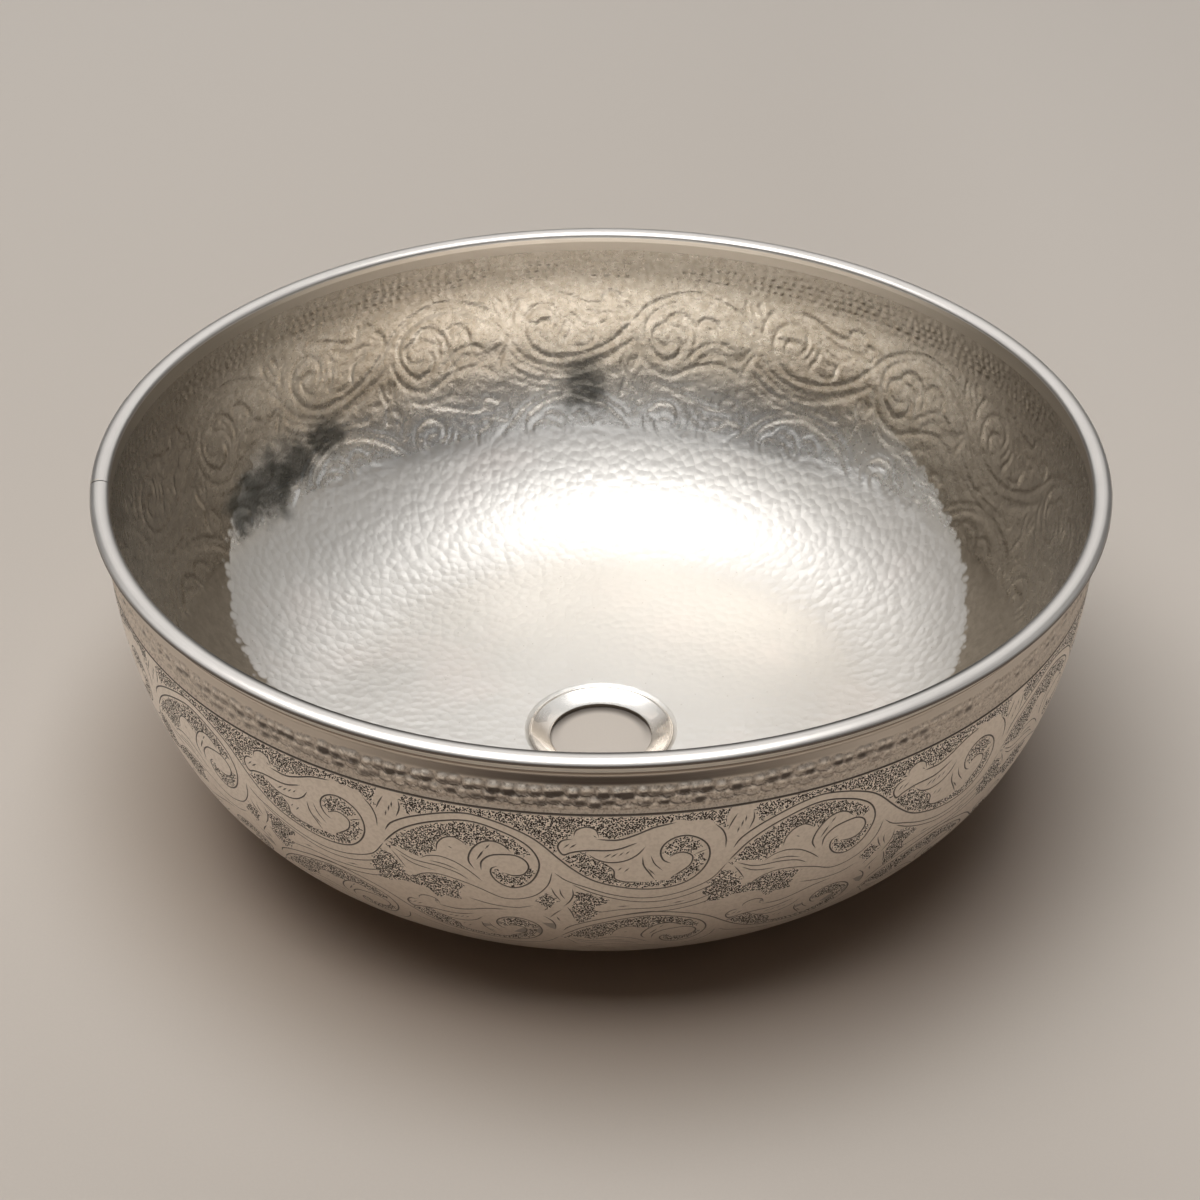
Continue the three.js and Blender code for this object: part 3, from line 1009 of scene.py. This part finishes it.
def makeEngravedWall():
    points, faces, depth, cut, faceCut, faceGround = engraveRepeat()
    count = drawing["repeats"]
    merged, mergedFaces, first = mergeRepeats(points, faces)
    depth, cut = np.tile(depth, count)[first], np.tile(cut, count)[first]
    print("engraved field:", len(merged), "points and", len(mergedFaces), "triangles")

    degrees, drop = warpRepeats(merged[:, 0], merged[:, 1])
    columns = engraved["columns"]
    ringTurns = repeatStart + turns(columns)
    reach = engraved["footReach"]
    plainRows = np.arange(drawing["end"] + engraved["rowGap"], lastDrop - reach - 2, engraved["rowSpacing"])
    footRows = np.linspace(lastDrop - reach, lastDrop - 0.01, engraved["footRows"])
    backDrops = [lastDrop - 0.01, *np.linspace(lastDrop - 9, 0.0, engraved["backRows"])]
    border = [outside.points(ringTurns, level, -deep) for level, deep in engraved["borderCut"]]

    # order: field, rows below it, back of the sheet from the hole up, border cut
    rings = outside.rings(ringTurns, [*plainRows, *footRows]) + middle.rings(ringTurns, backDrops) + border
    starts = (len(merged) + np.arange(len(rings)) * columns).tolist()
    faceList = mergedFaces.tolist()
    kinds = np.tile(np.where(faceCut, 2, np.where(faceGround, 1, 0)), count).tolist()
    for here in range(len(rings) - 1):
        strip = ringFaces(starts[here], columns, starts[here + 1], columns)
        kinds += [2 if here >= len(rings) - len(border) else 0] * len(strip)
        faceList += strip
    for level, other, kind in ((drawing["end"], starts[0], 0), (engraved["top"], starts[-1], 2)):
        edge = np.where(np.abs(merged[:, 1] - level) < 1e-3)[0]
        around = np.mod(merged[edge, 0] - repeatStart + 0.01, fullTurn)
        order = np.argsort(around)
        strip = zipRings(edge[order], around[order], other + np.arange(columns), turns(columns))
        kinds += [kind] * len(strip)
        faceList += strip
    places = [outside.points(degrees, drop, -depth)] + rings
    piece = finishMesh("engravedWall", places, faceList, softAngle, kinds)
    shadeEngraving(piece, degrees, drop, cut, ringTurns, plainRows)
    rideAs(piece, "hammered_shell", "basin_shell")
    return piece


def readAll(items, name, kind, width=1):
    values = np.zeros(len(items) * width, kind)
    items.foreach_get(name, values)
    return values if width == 1 else values.reshape(-1, width)


def addMask(mesh, name, domain, values):
    layer = mesh.attributes.new(name, "FLOAT", domain)
    layer.data.foreach_set("value", np.clip(values, 0.0, 1.0).astype(np.float32))


def shadeEngraving(piece, degrees, drop, cut, ringTurns, plainRows):
    # true normals on the smooth metal, flat ones in the cuts, and masks for the patina
    mesh = piece.data
    loopVertex = readAll(mesh.loops, "vertex_index", np.int32)
    loopFace = np.repeat(np.arange(len(mesh.polygons)), readAll(mesh.polygons, "loop_total", np.int32))
    loopKind = readAll(mesh.attributes["kind"].data, "value", np.int32)[loopFace]
    flat = readAll(mesh.polygons, "normal", np.float32, 3)[loopFace]
    smooth = readAll(mesh.vertices, "normal", np.float32, 3)
    fieldCount, columns = len(degrees), len(ringTurns)
    smooth[:fieldCount] = outside.outward(degrees, drop)
    for row, level in enumerate(plainRows):
        first = fieldCount + row * columns
        smooth[first:first + columns] = outside.outward(ringTurns, level)
    share = np.choose(loopKind, [0.0, 0.45, 0.8])[:, None]
    normals = smooth[loopVertex] * (1 - share) + flat * share
    normals /= np.linalg.norm(normals, axis=1)[:, None]
    mesh.normals_split_custom_set(normals.tolist())

    deep = np.zeros(len(mesh.vertices))
    deep[:fieldCount] = cut
    deep[-len(engraved["borderCut"]) * columns:] = 0.7
    addMask(mesh, "cutMask", "CORNER", np.where(loopKind == 2, 0.5 + 0.5 * deep[loopVertex], 0.0))
    addMask(mesh, "groundMask", "CORNER", np.where(loopKind == 1, 1.0, 0.0))
    mesh.attributes.remove(mesh.attributes["kind"])


engravedWall = makeEngravedWall()


# the punched band with its pearls, and the turned collar above it

collar = {
    "columns": 1800,
    "pearlPitch": 4.6,
    # rows of pearls punched up from inside: drop, radius and height
    "rows": ((-9.9, 2.75, 1.4), (-5.9, 2.6, 0.95), (-2.9, 2.1, 0.5)),
    # the turned face and the cove over the band: drop, and how far it stands out
    "cove": ((-18.3, 0.0), (-17.6, 0.1), (-16.9, 0.04), (-15.7, -0.52), (-13.9, -0.66), (-13.0, -0.5),
             (-12.4, -0.4)),
    # the ridge that closes the band above the border
    "ridge": ((-1.4, -0.4), (-0.8, 0.0), (-0.35, 0.0), (-0.15, -0.12), (0.0, -0.3)),
    "pitDepth": 0.6,
    "stray": (0.45, 1.1, 0.3),  # each pearl's: share of the pitch sideways, mm down, share of its radius
    "seed": 21,
}


def collarRise(degrees, drop):
    # how far the band's face stands out, where its pearls' upper sides get painted highlight and how dark
    # their hollows and lower sides are painted as shade
    draw = np.random.default_rng(collar["seed"])
    rise = np.interp(drop, *zip(*collar["cove"]))
    litTops, paintedShade = np.zeros(degrees.shape), np.zeros(degrees.shape)
    around = 2 * math.pi * shell["radius"]
    count = int(around / collar["pearlPitch"])
    strayAside, strayDown, straySize = collar["stray"]
    places = np.radians(np.mod(degrees[0], fullTurn)) * shell["radius"]
    for index, (level, radius, height) in enumerate(collar["rows"]):
        ground = np.interp(level, *zip(*collar["cove"]))
        shakes = draw.uniform(-0.5, 0.5, (count, 5))
        for n, (sideways, down, size, strength, shadeStrength) in enumerate(shakes):
            x = (n + 0.5 * (index % 2) + strayAside * sideways) * around / count
            y = level + strayDown * down
            reach = radius * (1 + straySize * size)
            lively = 0.7 + 0.3 * math.cos(3 * x / shell["radius"] + 0.3)
            power = height * lively * (1 + (0.6 + 0.5 * index) * strength)
            beside = (places - x + around / 2) % around - around / 2
            near = np.abs(beside) < reach * 2.2
            dx = beside[near] / reach
            dy = (drop[:, near] - y) / (reach * 0.9)
            away = dx * dx + dy * dy
            dome = np.maximum(0.0, 1.0 - away) ** 0.7
            hollow = np.exp(-((dx - 0.1) / 0.78) ** 4 - ((dy - 0.5) / 0.62) ** 2)
            rise[:, near] = np.maximum(rise[:, near], ground + dome * power)
            rise[:, near] -= collar["pitDepth"] * power * hollow
            # painted highlight on each pearl's upper left side
            cap = dome * np.exp(-((dx + 0.1) / 0.8) ** 2 - ((dy + 0.55) / 0.42) ** 2)
            litTops[:, near] = np.maximum(litTops[:, near], cap * (1.0 - 0.2 * index) * lively)
            # painted shade in each pearl's hollow and round its foot, most on the lower side
            gap = np.exp(-((np.sqrt(away) - 1.04) / 0.16) ** 2) * (0.45 + 0.25 * dy)
            pearlShade = np.maximum(hollow * (0.82 - 0.4 * index + shadeStrength), gap) * lively
            paintedShade[:, near] = np.maximum(paintedShade[:, near], pearlShade)
    return rise, litTops, paintedShade


def collarReflection(degrees, drop):
    # painted reflection of the shadow under the bowl: the turned face over the pearls is painted dark brown,
    # most of all at the front
    band = smoothStep(-17.6, -15.9, drop) * (1 - smoothStep(-13.2, -12.3, drop))
    return band * (0.12 + 0.88 * np.maximum(0.0, np.cos(3 * np.radians(degrees))) ** 1.5)


def makeCollar():
    spin, coarse = turns(collar["columns"]), turns(collar["columns"] // 8)
    top = firstDrop + 0.01
    levels = np.concatenate([[top, -20.0], np.arange(-18.3, -13.0, 0.45), np.arange(-12.85, -0.9, 0.5),
                             [-0.62, -0.36, -0.12, 0.0]])
    degrees, drop = np.meshgrid(spin, levels)
    rise, litTops, paintedShade = collarRise(degrees, drop)
    edge = smoothStep(-2.2, -1.2, drop)
    ridge = np.interp(levels, *zip(*collar["ridge"]))[:, None]
    rise = rise * (1 - edge) + ridge * edge
    rings = [outside.points(spin, level, row) for level, row in zip(levels, rise)]
    back = middle.rings(coarse, (0.0, -8.0, top))
    piece = closedSkin("punchedCollar", rings + back, softAngle)
    masks = {"litTops": litTops * (1 - edge), "paintedShade": paintedShade * (1 - edge), "darkReflection": collarReflection(degrees, drop)}
    for name, mask in masks.items():
        addMask(piece.data, name, "POINT", np.concatenate([mask.ravel(), np.zeros(len(back) * len(coarse))]))
    rideAs(piece, "hammered_shell", "basin_shell")
    return piece


punchedCollar = makeCollar()


# the inside: a wall with the engraving's soft reverse relief, and a hammered floor

insideWall = {
    "columns": 1440,
    "spacing": 1.3,  # mm between rows of points
    "fluteSpacing": 0.8,  # the same where the blunt bumps are
    "fluteFoot": 2.6,  # mm below the border, where the upper piece ends
    "foot": 81.0,  # where the floor's piece takes over
    "relief": 0.34,
    "reliefReach": 0.8,
    "groundSink": 0.35,  # share of the relief by which the stippled grounds lie back
    "flute": 0.42,
    "flutePitch": 4.15,
    "fluteRows": (-14.6, -11.5, -8.4, -5.3, -2.2, 0.9),  # drops between the rows of bumps
    "waviness": 0.10,
}


def reliefGrid(levels, columns):
    # the cuts' soft back on one repeat, laid round the whole wall
    per = columns // drawing["repeats"]
    degrees, drop = np.meshgrid(repeatStart + np.arange(per) * oneRepeat / per, levels)
    flat = np.stack([degrees.ravel(), drop.ravel()], -1)
    reach = insideWall["reliefReach"]
    swell = lambda away, half: np.exp(-(away / reach) ** 2) * np.minimum(1.0, half / 0.2)
    ridges = nearestCut(flat, segments, swell)
    inGround = withinAny(flat, groundOutlines)
    field = (ridges - insideWall["groundSink"] * inGround).reshape(degrees.shape)
    return np.tile(field, (1, drawing["repeats"]))


def wallRise(degrees, drop, relief):
    # outward is away from the bowl's middle, so what stands up inside has a minus
    around = np.radians(degrees) * shell["radius"]
    fade = smoothStep(1.0, 5.0, drop) * (1 - smoothStep(72.0, 78.0, drop))
    rise = -relief * insideWall["relief"] * fade
    edges = insideWall["fluteRows"]
    for row, (low, high) in enumerate(zip(edges, edges[1:])):
        # a row of blunt bumps, each knocked in with its own strength
        drift = 0.9 * np.sin(around / 29.0 + 2.3 * row) + 0.35 * np.sin(around / 8.3 + row)
        place = around / insideWall["flutePitch"] + 0.5 * (row % 2) + drift
        cell = np.floor(place)
        strength = 0.35 + 0.65 * np.abs(np.sin(cell * 12.9 + row * 78.2))
        height = np.clip((drop + 0.35 * np.sin(cell * 5.3) - low) / (high - low), 0.0, 1.0)
        bump = (np.sin(math.pi * (place - cell)) * np.sin(math.pi * height)) ** 2
        outer = row in (0, len(edges) - 2)
        rise += insideWall["flute"] * strength * bump * (0.5 if outer else 1.0)
    swells = np.sin(around / 9.0 + drop / 6.0) * np.sin(drop / 7.5 - around / 23.0)
    return rise + insideWall["waviness"] * swells * fade


def makeInsideWall(name, levels, backLevels):
    columns = insideWall["columns"]
    spin, coarse = repeatStart + turns(columns), repeatStart + turns(columns // 6)
    degrees, drop = np.meshgrid(spin, levels)
    rise = wallRise(degrees, drop, reliefGrid(levels, columns))
    rings = [inside.points(spin, level, row) for level, row in zip(levels, rise)]
    piece = closedSkin(name, rings + middle.rings(coarse, backLevels))
    rideAs(piece, "hammered_shell", "basin_shell")
    return piece


def makeInsideWalls():
    top = inside.drops[0] + 0.01
    middleLevel, foot = insideWall["fluteFoot"], insideWall["foot"]
    upper = np.linspace(top, middleLevel, int((middleLevel - top) / insideWall["fluteSpacing"]) + 1)
    lower = np.linspace(middleLevel, foot, int((foot - middleLevel) / insideWall["spacing"]) + 1)
    return (
        makeInsideWall("insideFlutes", upper, np.linspace(middleLevel, top, 4)),
        makeInsideWall("insideWall", lower, np.linspace(foot, middleLevel, 16)),
    )


insideFloor = {
    "spacing": 1.45,
    "columns": ((112.0, 1080), (56.0, 540), (0.0, 180)),  # outside each radius, the points in a ring
    "blowPitch": 4.3,
    "blowDepth": 0.13,
    "firstRow": 1.6,  # mm below the floor piece's edge, where the first row of blows stands in a line
    "firstRowDepth": 0.18,
    "firstRowDashes": 260.0,
    "backRows": 22,
    "seed": 4,
}


def blowSeats(firstLevel):
    # hammer blows in rings round the drain
    draw = np.random.default_rng(insideFloor["seed"])
    pitch = insideFloor["blowPitch"]
    seats = []
    level = firstLevel + insideFloor["firstRow"] - 0.4 * pitch
    while level < inside.drops[-1]:
        radius = float(inside.at(level)[0])
        count = max(8, int(2 * math.pi * radius / pitch))
        loose = 0.4 if len(seats) > 1 else 0.1
        spin = (np.arange(count) + draw.uniform(0, 1)) * fullTurn / count
        spin += draw.uniform(-loose, loose, count) * fullTurn / count
        drop = level + draw.uniform(-loose, loose, count) * pitch
        seats.append(inside.points(spin, drop))
        level += pitch * 0.86
    return np.concatenate(seats)


def blowRise(places, seats):
    # each blow leaves a shallow hollow, and neighbours meet in a soft ridge
    tree = kdtree.KDTree(len(seats))
    for index, seat in enumerate(seats.tolist()):
        tree.insert(seat, index)
    tree.balance()
    away = np.array([[hit[2] for hit in tree.find_n(place, 3)] for place in places.tolist()])
    squares = (away / insideFloor["blowPitch"]) ** 2
    soft = -np.log(np.exp(-14.0 * squares).sum(axis=1)) / 14.0
    return (np.clip(soft, -0.1, 0.22) - 0.08) * insideFloor["blowDepth"] * 2.4


def makeInsideFloor(firstLevel):
    spacing = insideFloor["spacing"]
    levels = [firstLevel]
    while levels[-1] < inside.drops[-1] - spacing:
        levels.append(levels[-1] + spacing)
    levels.append(inside.drops[-1] - 0.01)
    seats = blowSeats(firstLevel)
    rings = []
    for level in levels:
        radius = float(inside.at(level)[0])
        columns = next(count for limit, count in insideFloor["columns"] if radius > limit)
        spin = repeatStart + turns(columns)
        below = level - firstLevel - insideFloor["firstRow"]
        near = math.exp(-(below / 0.9) ** 2)
        turn = np.radians(spin)
        dashes = np.maximum(0.0, np.sin(turn * insideFloor["firstRowDashes"] + 2 * np.sin(turn * 9)))
        fade = float(smoothStep(-0.8, 0.8, below)) * float(smoothStep(34.0, 40.0, radius))
        rise = -blowRise(inside.points(spin, level), seats) * fade
        rings.append(inside.points(spin, level, rise + insideFloor["firstRowDepth"] * near * dashes))
    last = levels[-1]
    backLevels = [last, last - 3, last - 5, last - 7, last - 9]
    backLevels += np.linspace(last - 14, firstLevel, insideFloor["backRows"]).tolist()
    back = middle.rings(repeatStart + turns(insideFloor["columns"][-1][1]), backLevels)
    piece = closedSkin("insideFloor", rings + back)
    rideAs(piece, "hammered_shell", "basin_shell")
    return piece


insideWalls = makeInsideWalls()
floorPiece = makeInsideFloor(insideWall["foot"])


# finishes: places are in metres in the part's frame, and colours are linear

def satinEngraved():
    metal = Finish("engravedSatin")
    cut, ground = metal.attribute("cutMask"), metal.attribute("groundMask")
    wander, fine, grain = metal.noise(45.0, 3.0), metal.noise(700.0, 3.0), metal.noise(2400.0)
    marks = (metal.cells(1550.0, 0.8) + 0.3 * grain).below(0.62, 0.76)
    patina = (ground * marks).atLeast(cut)
    height = metal.axis("Z")
    strands = metal.noise(1.0, 1.0, metal.stretched((62.0, 62.0, 470.0)))
    feather = strands.thread(0.045) * (1 - ground) * metal.noise(34.0).between(0.45, 0.56)
    colour = metal.layers(
        metal.blend(wander, (0.70, 0.61, 0.52), (0.785, 0.695, 0.605)),
        (metal.axis("X").below(-0.17, -0.07) * 0.9, (0.88, 0.80, 0.72)),  # painted light: paler at the left, the side the light comes from
        (fine.between(0.44, 0.62) * 0.25, (0.52, 0.44, 0.37)),
        (ground * grain.between(0.42, 0.58), (0.93, 0.85, 0.75)),  # bright between the punch marks
        (height.below(0.03, 0.085) * 0.3, (0.43, 0.36, 0.30)),  # painted shade: darker low down, where the wall faces the shadow on the floor
        (feather * height.below(0.085, 0.105) * 0.9, (0.06, 0.04, 0.028)),
        (patina, (0.032, 0.019, 0.013)),
    )
    dots = metal.bump(marks * ground, -0.6, 0.0002)
    dents = metal.bump(metal.noise(130.0) + 0.12 * fine, 0.18, 0.0012, dots)
    roughness = (0.34 + 0.12 * fine + 0.06 * wander).atLeast(patina * 0.7)
    return metal.done(colour, roughness, dents, 1.0 - 0.85 * patina)


def turnedAndPunched():
    metal = Finish("punchedSatin")
    height = metal.axis("Z")
    onBand = height.below(0.1346, 0.1356)
    # painted shade: a dark line in the crease under the rim channel
    crease = height.between(0.1400, 0.1403) * height.below(0.1407, 0.1410)
    turned = metal.noise(1.0, place=metal.stretched((4.0, 4.0, 2600.0)))
    sand, wander = metal.noise(1100.0, 3.0), metal.noise(60.0, 3.0)
    litTops, paintedShade, darkReflection = (metal.attribute(name) for name in ("litTops", "paintedShade", "darkReflection"))
    dark = (paintedShade * (0.8 + 0.4 * sand)).between(0.10, 0.72)
    # painted reflection: the cove over the pearls darkened brown
    brown = darkReflection * (0.86 + 0.14 * turned)
    colour = metal.layers(
        metal.blend(wander, (0.60, 0.52, 0.44), (0.68, 0.60, 0.52)),
        (onBand * 0.22, (0.40, 0.33, 0.27)),
        (metal.axis("X").below(-0.18, -0.08) * 0.6, (0.84, 0.75, 0.66)),  # painted light: paler at the left, the side the light comes from
        (sand.between(0.46, 0.62) * onBand * 0.35, (0.84, 0.75, 0.65)),
        # painted highlight on the pearls' upper left sides
        (litTops.between(0.05, 0.7) * 0.9, (0.97, 0.89, 0.79)),
        # dark grain on the band, and the painted shade line in the crease
        ((metal.noise(900.0).between(0.48, 0.7) * onBand * 0.45).atLeast(crease * 0.8), (0.22, 0.165, 0.125)),
        # painted shade in the pearls' hollows and round their feet
        (dark * 0.92, (0.075, 0.05, 0.035)),
        (brown, (0.075, 0.048, 0.031)),
    )
    grit = metal.bump(sand * onBand, 0.5, 0.00035)
    lines = metal.bump(turned * (1 - onBand), 0.25, 0.0002, grit)
    return metal.done(colour, 0.28 + 0.16 * sand + 0.14 * onBand, lines, 1.0 - 0.75 * dark.atLeast(brown))


reflectedBlots = {
    # painted reflections of dark things: middle, and how far they are full and how far they reach
    "blots": (
        ((-0.0075, 0.188, 0.0712), 0.003, 0.019),
        ((-0.163, 0.091, 0.062), 0.006, 0.018),
        ((-0.153, 0.106, 0.064), 0.007, 0.021),
        ((-0.141, 0.121, 0.067), 0.006, 0.019),
        ((-0.129, 0.136, 0.072), 0.004, 0.016),
    ),
}


def burnishedInside():
    metal = Finish("burnishedInside")
    across, depth, height = (metal.axis(name) for name in "XYZ")
    wander, fine, scales = metal.noise(26.0, 4.0), metal.noise(420.0, 4.0), metal.cells(240.0)
    mottle = metal.noise(260.0, 5.0, roughness=0.65).between(0.34, 0.66)
    vein = metal.noise(95.0).thread(0.05)
    back, wall = depth.between(0.06, 0.18), height.between(0.041, 0.054)
    # painted reflections: the sides are painted dark brown down to a slanting, scaly edge, which lies
    # differently at the left and the right, the back is painted bright, and the top and a band lower down get
    # painted shade
    lean = across.between(-0.1, 0.1)
    edge = (1.45 + 0.65 * lean) * height - 0.008 - 0.02 * lean - depth
    brown = (edge + 0.010 * (scales - 0.5)).between(-0.002, 0.003) * height.between(0.009, 0.012)
    upper = height.between(0.055, 0.088).atLeast(brown * depth.between(-0.09, -0.04))
    high = metal.layers(
        metal.blend(mottle, (0.27, 0.228, 0.18), (0.35, 0.30, 0.24)),
        # painted reflection: bright at the back
        (back, metal.blend(mottle, (0.74, 0.65, 0.53), (0.98, 0.89, 0.77))),
        # painted shade: darker at the top
        (height.between(0.112, 0.130) * 0.68, (0.27, 0.228, 0.178)),
        # painted shade: darker lower down
        (height.below(0.086, 0.104) * 0.42, (0.27, 0.235, 0.19)),
        (vein * back * 0.45, (0.33, 0.28, 0.215)),
    )
    # dark nicks, most of them beside the brown edge
    nearEdge = edge.between(-0.03, -0.004) * height.between(0.009, 0.014)
    nicks = metal.noise(1.0, 2.0, metal.stretched((120.0, 330.0, 330.0))).thread(0.055)
    nicks = nicks * (metal.noise(85.0, 3.0) + 0.12 * nearEdge).between(0.47, 0.56) * (1 - upper)
    colour = metal.layers(
        metal.blend(wander, (0.65, 0.635, 0.612), (0.71, 0.697, 0.675)),
        # painted shade: darker to the right
        (across.between(0.0, 0.13) * 0.6, (0.52, 0.50, 0.475)),
        (metal.noise(14.0, 3.0).between(0.5, 0.72) * 0.5, (0.73, 0.68, 0.65)),
        # painted shade: the floor toned down at the back, where the highlight lies
        (depth.between(0.07, 0.12) * height.below(0.02, 0.045) * 0.35, (0.42, 0.41, 0.395)),
        (wall, (0.92, 0.905, 0.88)),
        (upper, high),
        (nicks * (0.5 + 0.3 * nearEdge), (0.32, 0.295, 0.27)),
    )
    # painted reflections: dark patches on the inner wall
    for place, low, reach in reflectedBlots["blots"]:
        ragged = metal.vector("DISTANCE", metal.place, place) + 0.025 * (metal.noise(90.0, 5.0) - 0.5)
        colour = metal.blend(ragged.below(low, reach) * 0.85, colour, (0.10, 0.10, 0.09))
    colour = metal.blend(metal.cells(170.0).below(0.03, 0.07) * 0.5, colour, (0.30, 0.26, 0.22))
    chased = metal.bump((vein + 0.2 * mottle) * wall, 0.5, 0.0006)
    dents = metal.bump(scales * (1 - 0.55 * wall) + 0.15 * fine, 0.28, 0.0009, chased)
    return metal.done(colour, 0.42 - 0.24 * wall + 0.10 * fine + 0.08 * wander, dents)


def polishedTrim():
    metal = Finish("polishedTrim")
    smear = metal.noise(60.0, 4.0)
    lines = metal.noise(1.0, 3.0, metal.stretched((60.0, 60.0, 2400.0)))
    streakedReflection = metal.blend(metal.noise(95.0, 1.0).between(0.48, 0.54), (0.40, 0.365, 0.33), (0.66, 0.60, 0.54))
    colour = metal.layers(
        metal.blend(smear, (0.80, 0.78, 0.75), (0.86, 0.845, 0.82)),
        (metal.axis("Y").below(0.005, 0.022) * 0.85, streakedReflection),  # painted reflections: streaked darker all round but at the back
        (metal.axis("Z").below(0.0018, 0.0024) * 0.9, (0.16, 0.135, 0.11)),  # painted shade inside the bore
    )
    return metal.done(colour, 0.18 + 0.10 * smear + 0.06 * lines, metal.bump(lines, 0.08, 0.0002))


def satinBead():
    metal = Finish("satinBead")
    height, radius = metal.axis("Z"), metal.radius()
    section = metal.node("ShaderNodeCombineXYZ", {}, {"X": radius, "Z": height})
    lines, smear = metal.noise(2600.0, 3.0, section), metal.noise(60.0, 4.0)
    # painted shade: the bead's inner slope is dark at the front, and its foot is dark with painted shade
    innerShade = metal.axis("Y").below(-0.17, -0.10) * radius.below(0.1966, 0.1996)
    # painted shade under the bead's overhang
    foot = height.below(0.1468, 0.1474) * radius.between(0.2010, 0.2016)
    colour = metal.layers(
        metal.blend(smear, (0.60, 0.575, 0.55), (0.68, 0.655, 0.63)),
        (lines.between(0.5, 0.7) * 0.35, (0.46, 0.435, 0.41)),
        (innerShade, (0.12, 0.115, 0.11)),
        (foot * 0.9, (0.10, 0.075, 0.06)),
    )
    return metal.done(colour, 0.26 + 0.10 * smear + 0.08 * lines, metal.bump(lines, 0.10, 0.0002))


def turnedStrip():
    metal = Finish("turnedStrip")
    lines, smear = metal.noise(1.0, 3.0, metal.stretched((12.0, 12.0, 3000.0))), metal.noise(70.0, 3.0)
    # painted light: the inner leg is painted brown at the sides and pale at the back, palest just under the
    # bead
    pale = metal.blend(metal.axis("Z").between(0.1436, 0.1442), (0.56, 0.49, 0.41), (0.84, 0.76, 0.66))
    leg = metal.blend(metal.axis("Y").between(0.09, 0.18), (0.37, 0.32, 0.26), pale)
    base = metal.blend(smear, (0.55, 0.49, 0.42), (0.64, 0.58, 0.50))
    colour = metal.blend(metal.radius().below(0.1970, 0.1980), base, leg)
    return metal.done(colour, 0.26 + 0.12 * lines, metal.bump(lines, 0.2, 0.0002))


def wipedSolder():
    metal = Finish("wipedSolder")
    wander = metal.noise(300.0, 4.0)
    colour = metal.blend(wander, (0.20, 0.165, 0.135), (0.34, 0.29, 0.245))
    return metal.done(colour, 0.35 + 0.2 * wander, metal.bump(wander, 0.3, 0.0003))


def brazedLine():
    metal = Finish("brazedLine")
    wander = metal.noise(900.0, 3.0)
    return metal.done(metal.blend(wander, (0.62, 0.56, 0.47), (0.72, 0.66, 0.56)), 0.3 + 0.15 * wander)


finishes = (
    (satinEngraved(), (engravedWall,)),
    (turnedAndPunched(), (punchedCollar,)),
    (burnishedInside(), (*insideWalls, floorPiece)),
    (satinBead(), (bead,)),
    (brazedLine(), (plug,)),
    (turnedStrip(), (channel,)),
    (polishedTrim(), (drain,)),
    (wipedSolder(), seams),
)
for material, pieces in finishes:
    for piece in pieces:
        piece.data.materials.clear()
        piece.data.materials.append(material)
print("finishes applied")
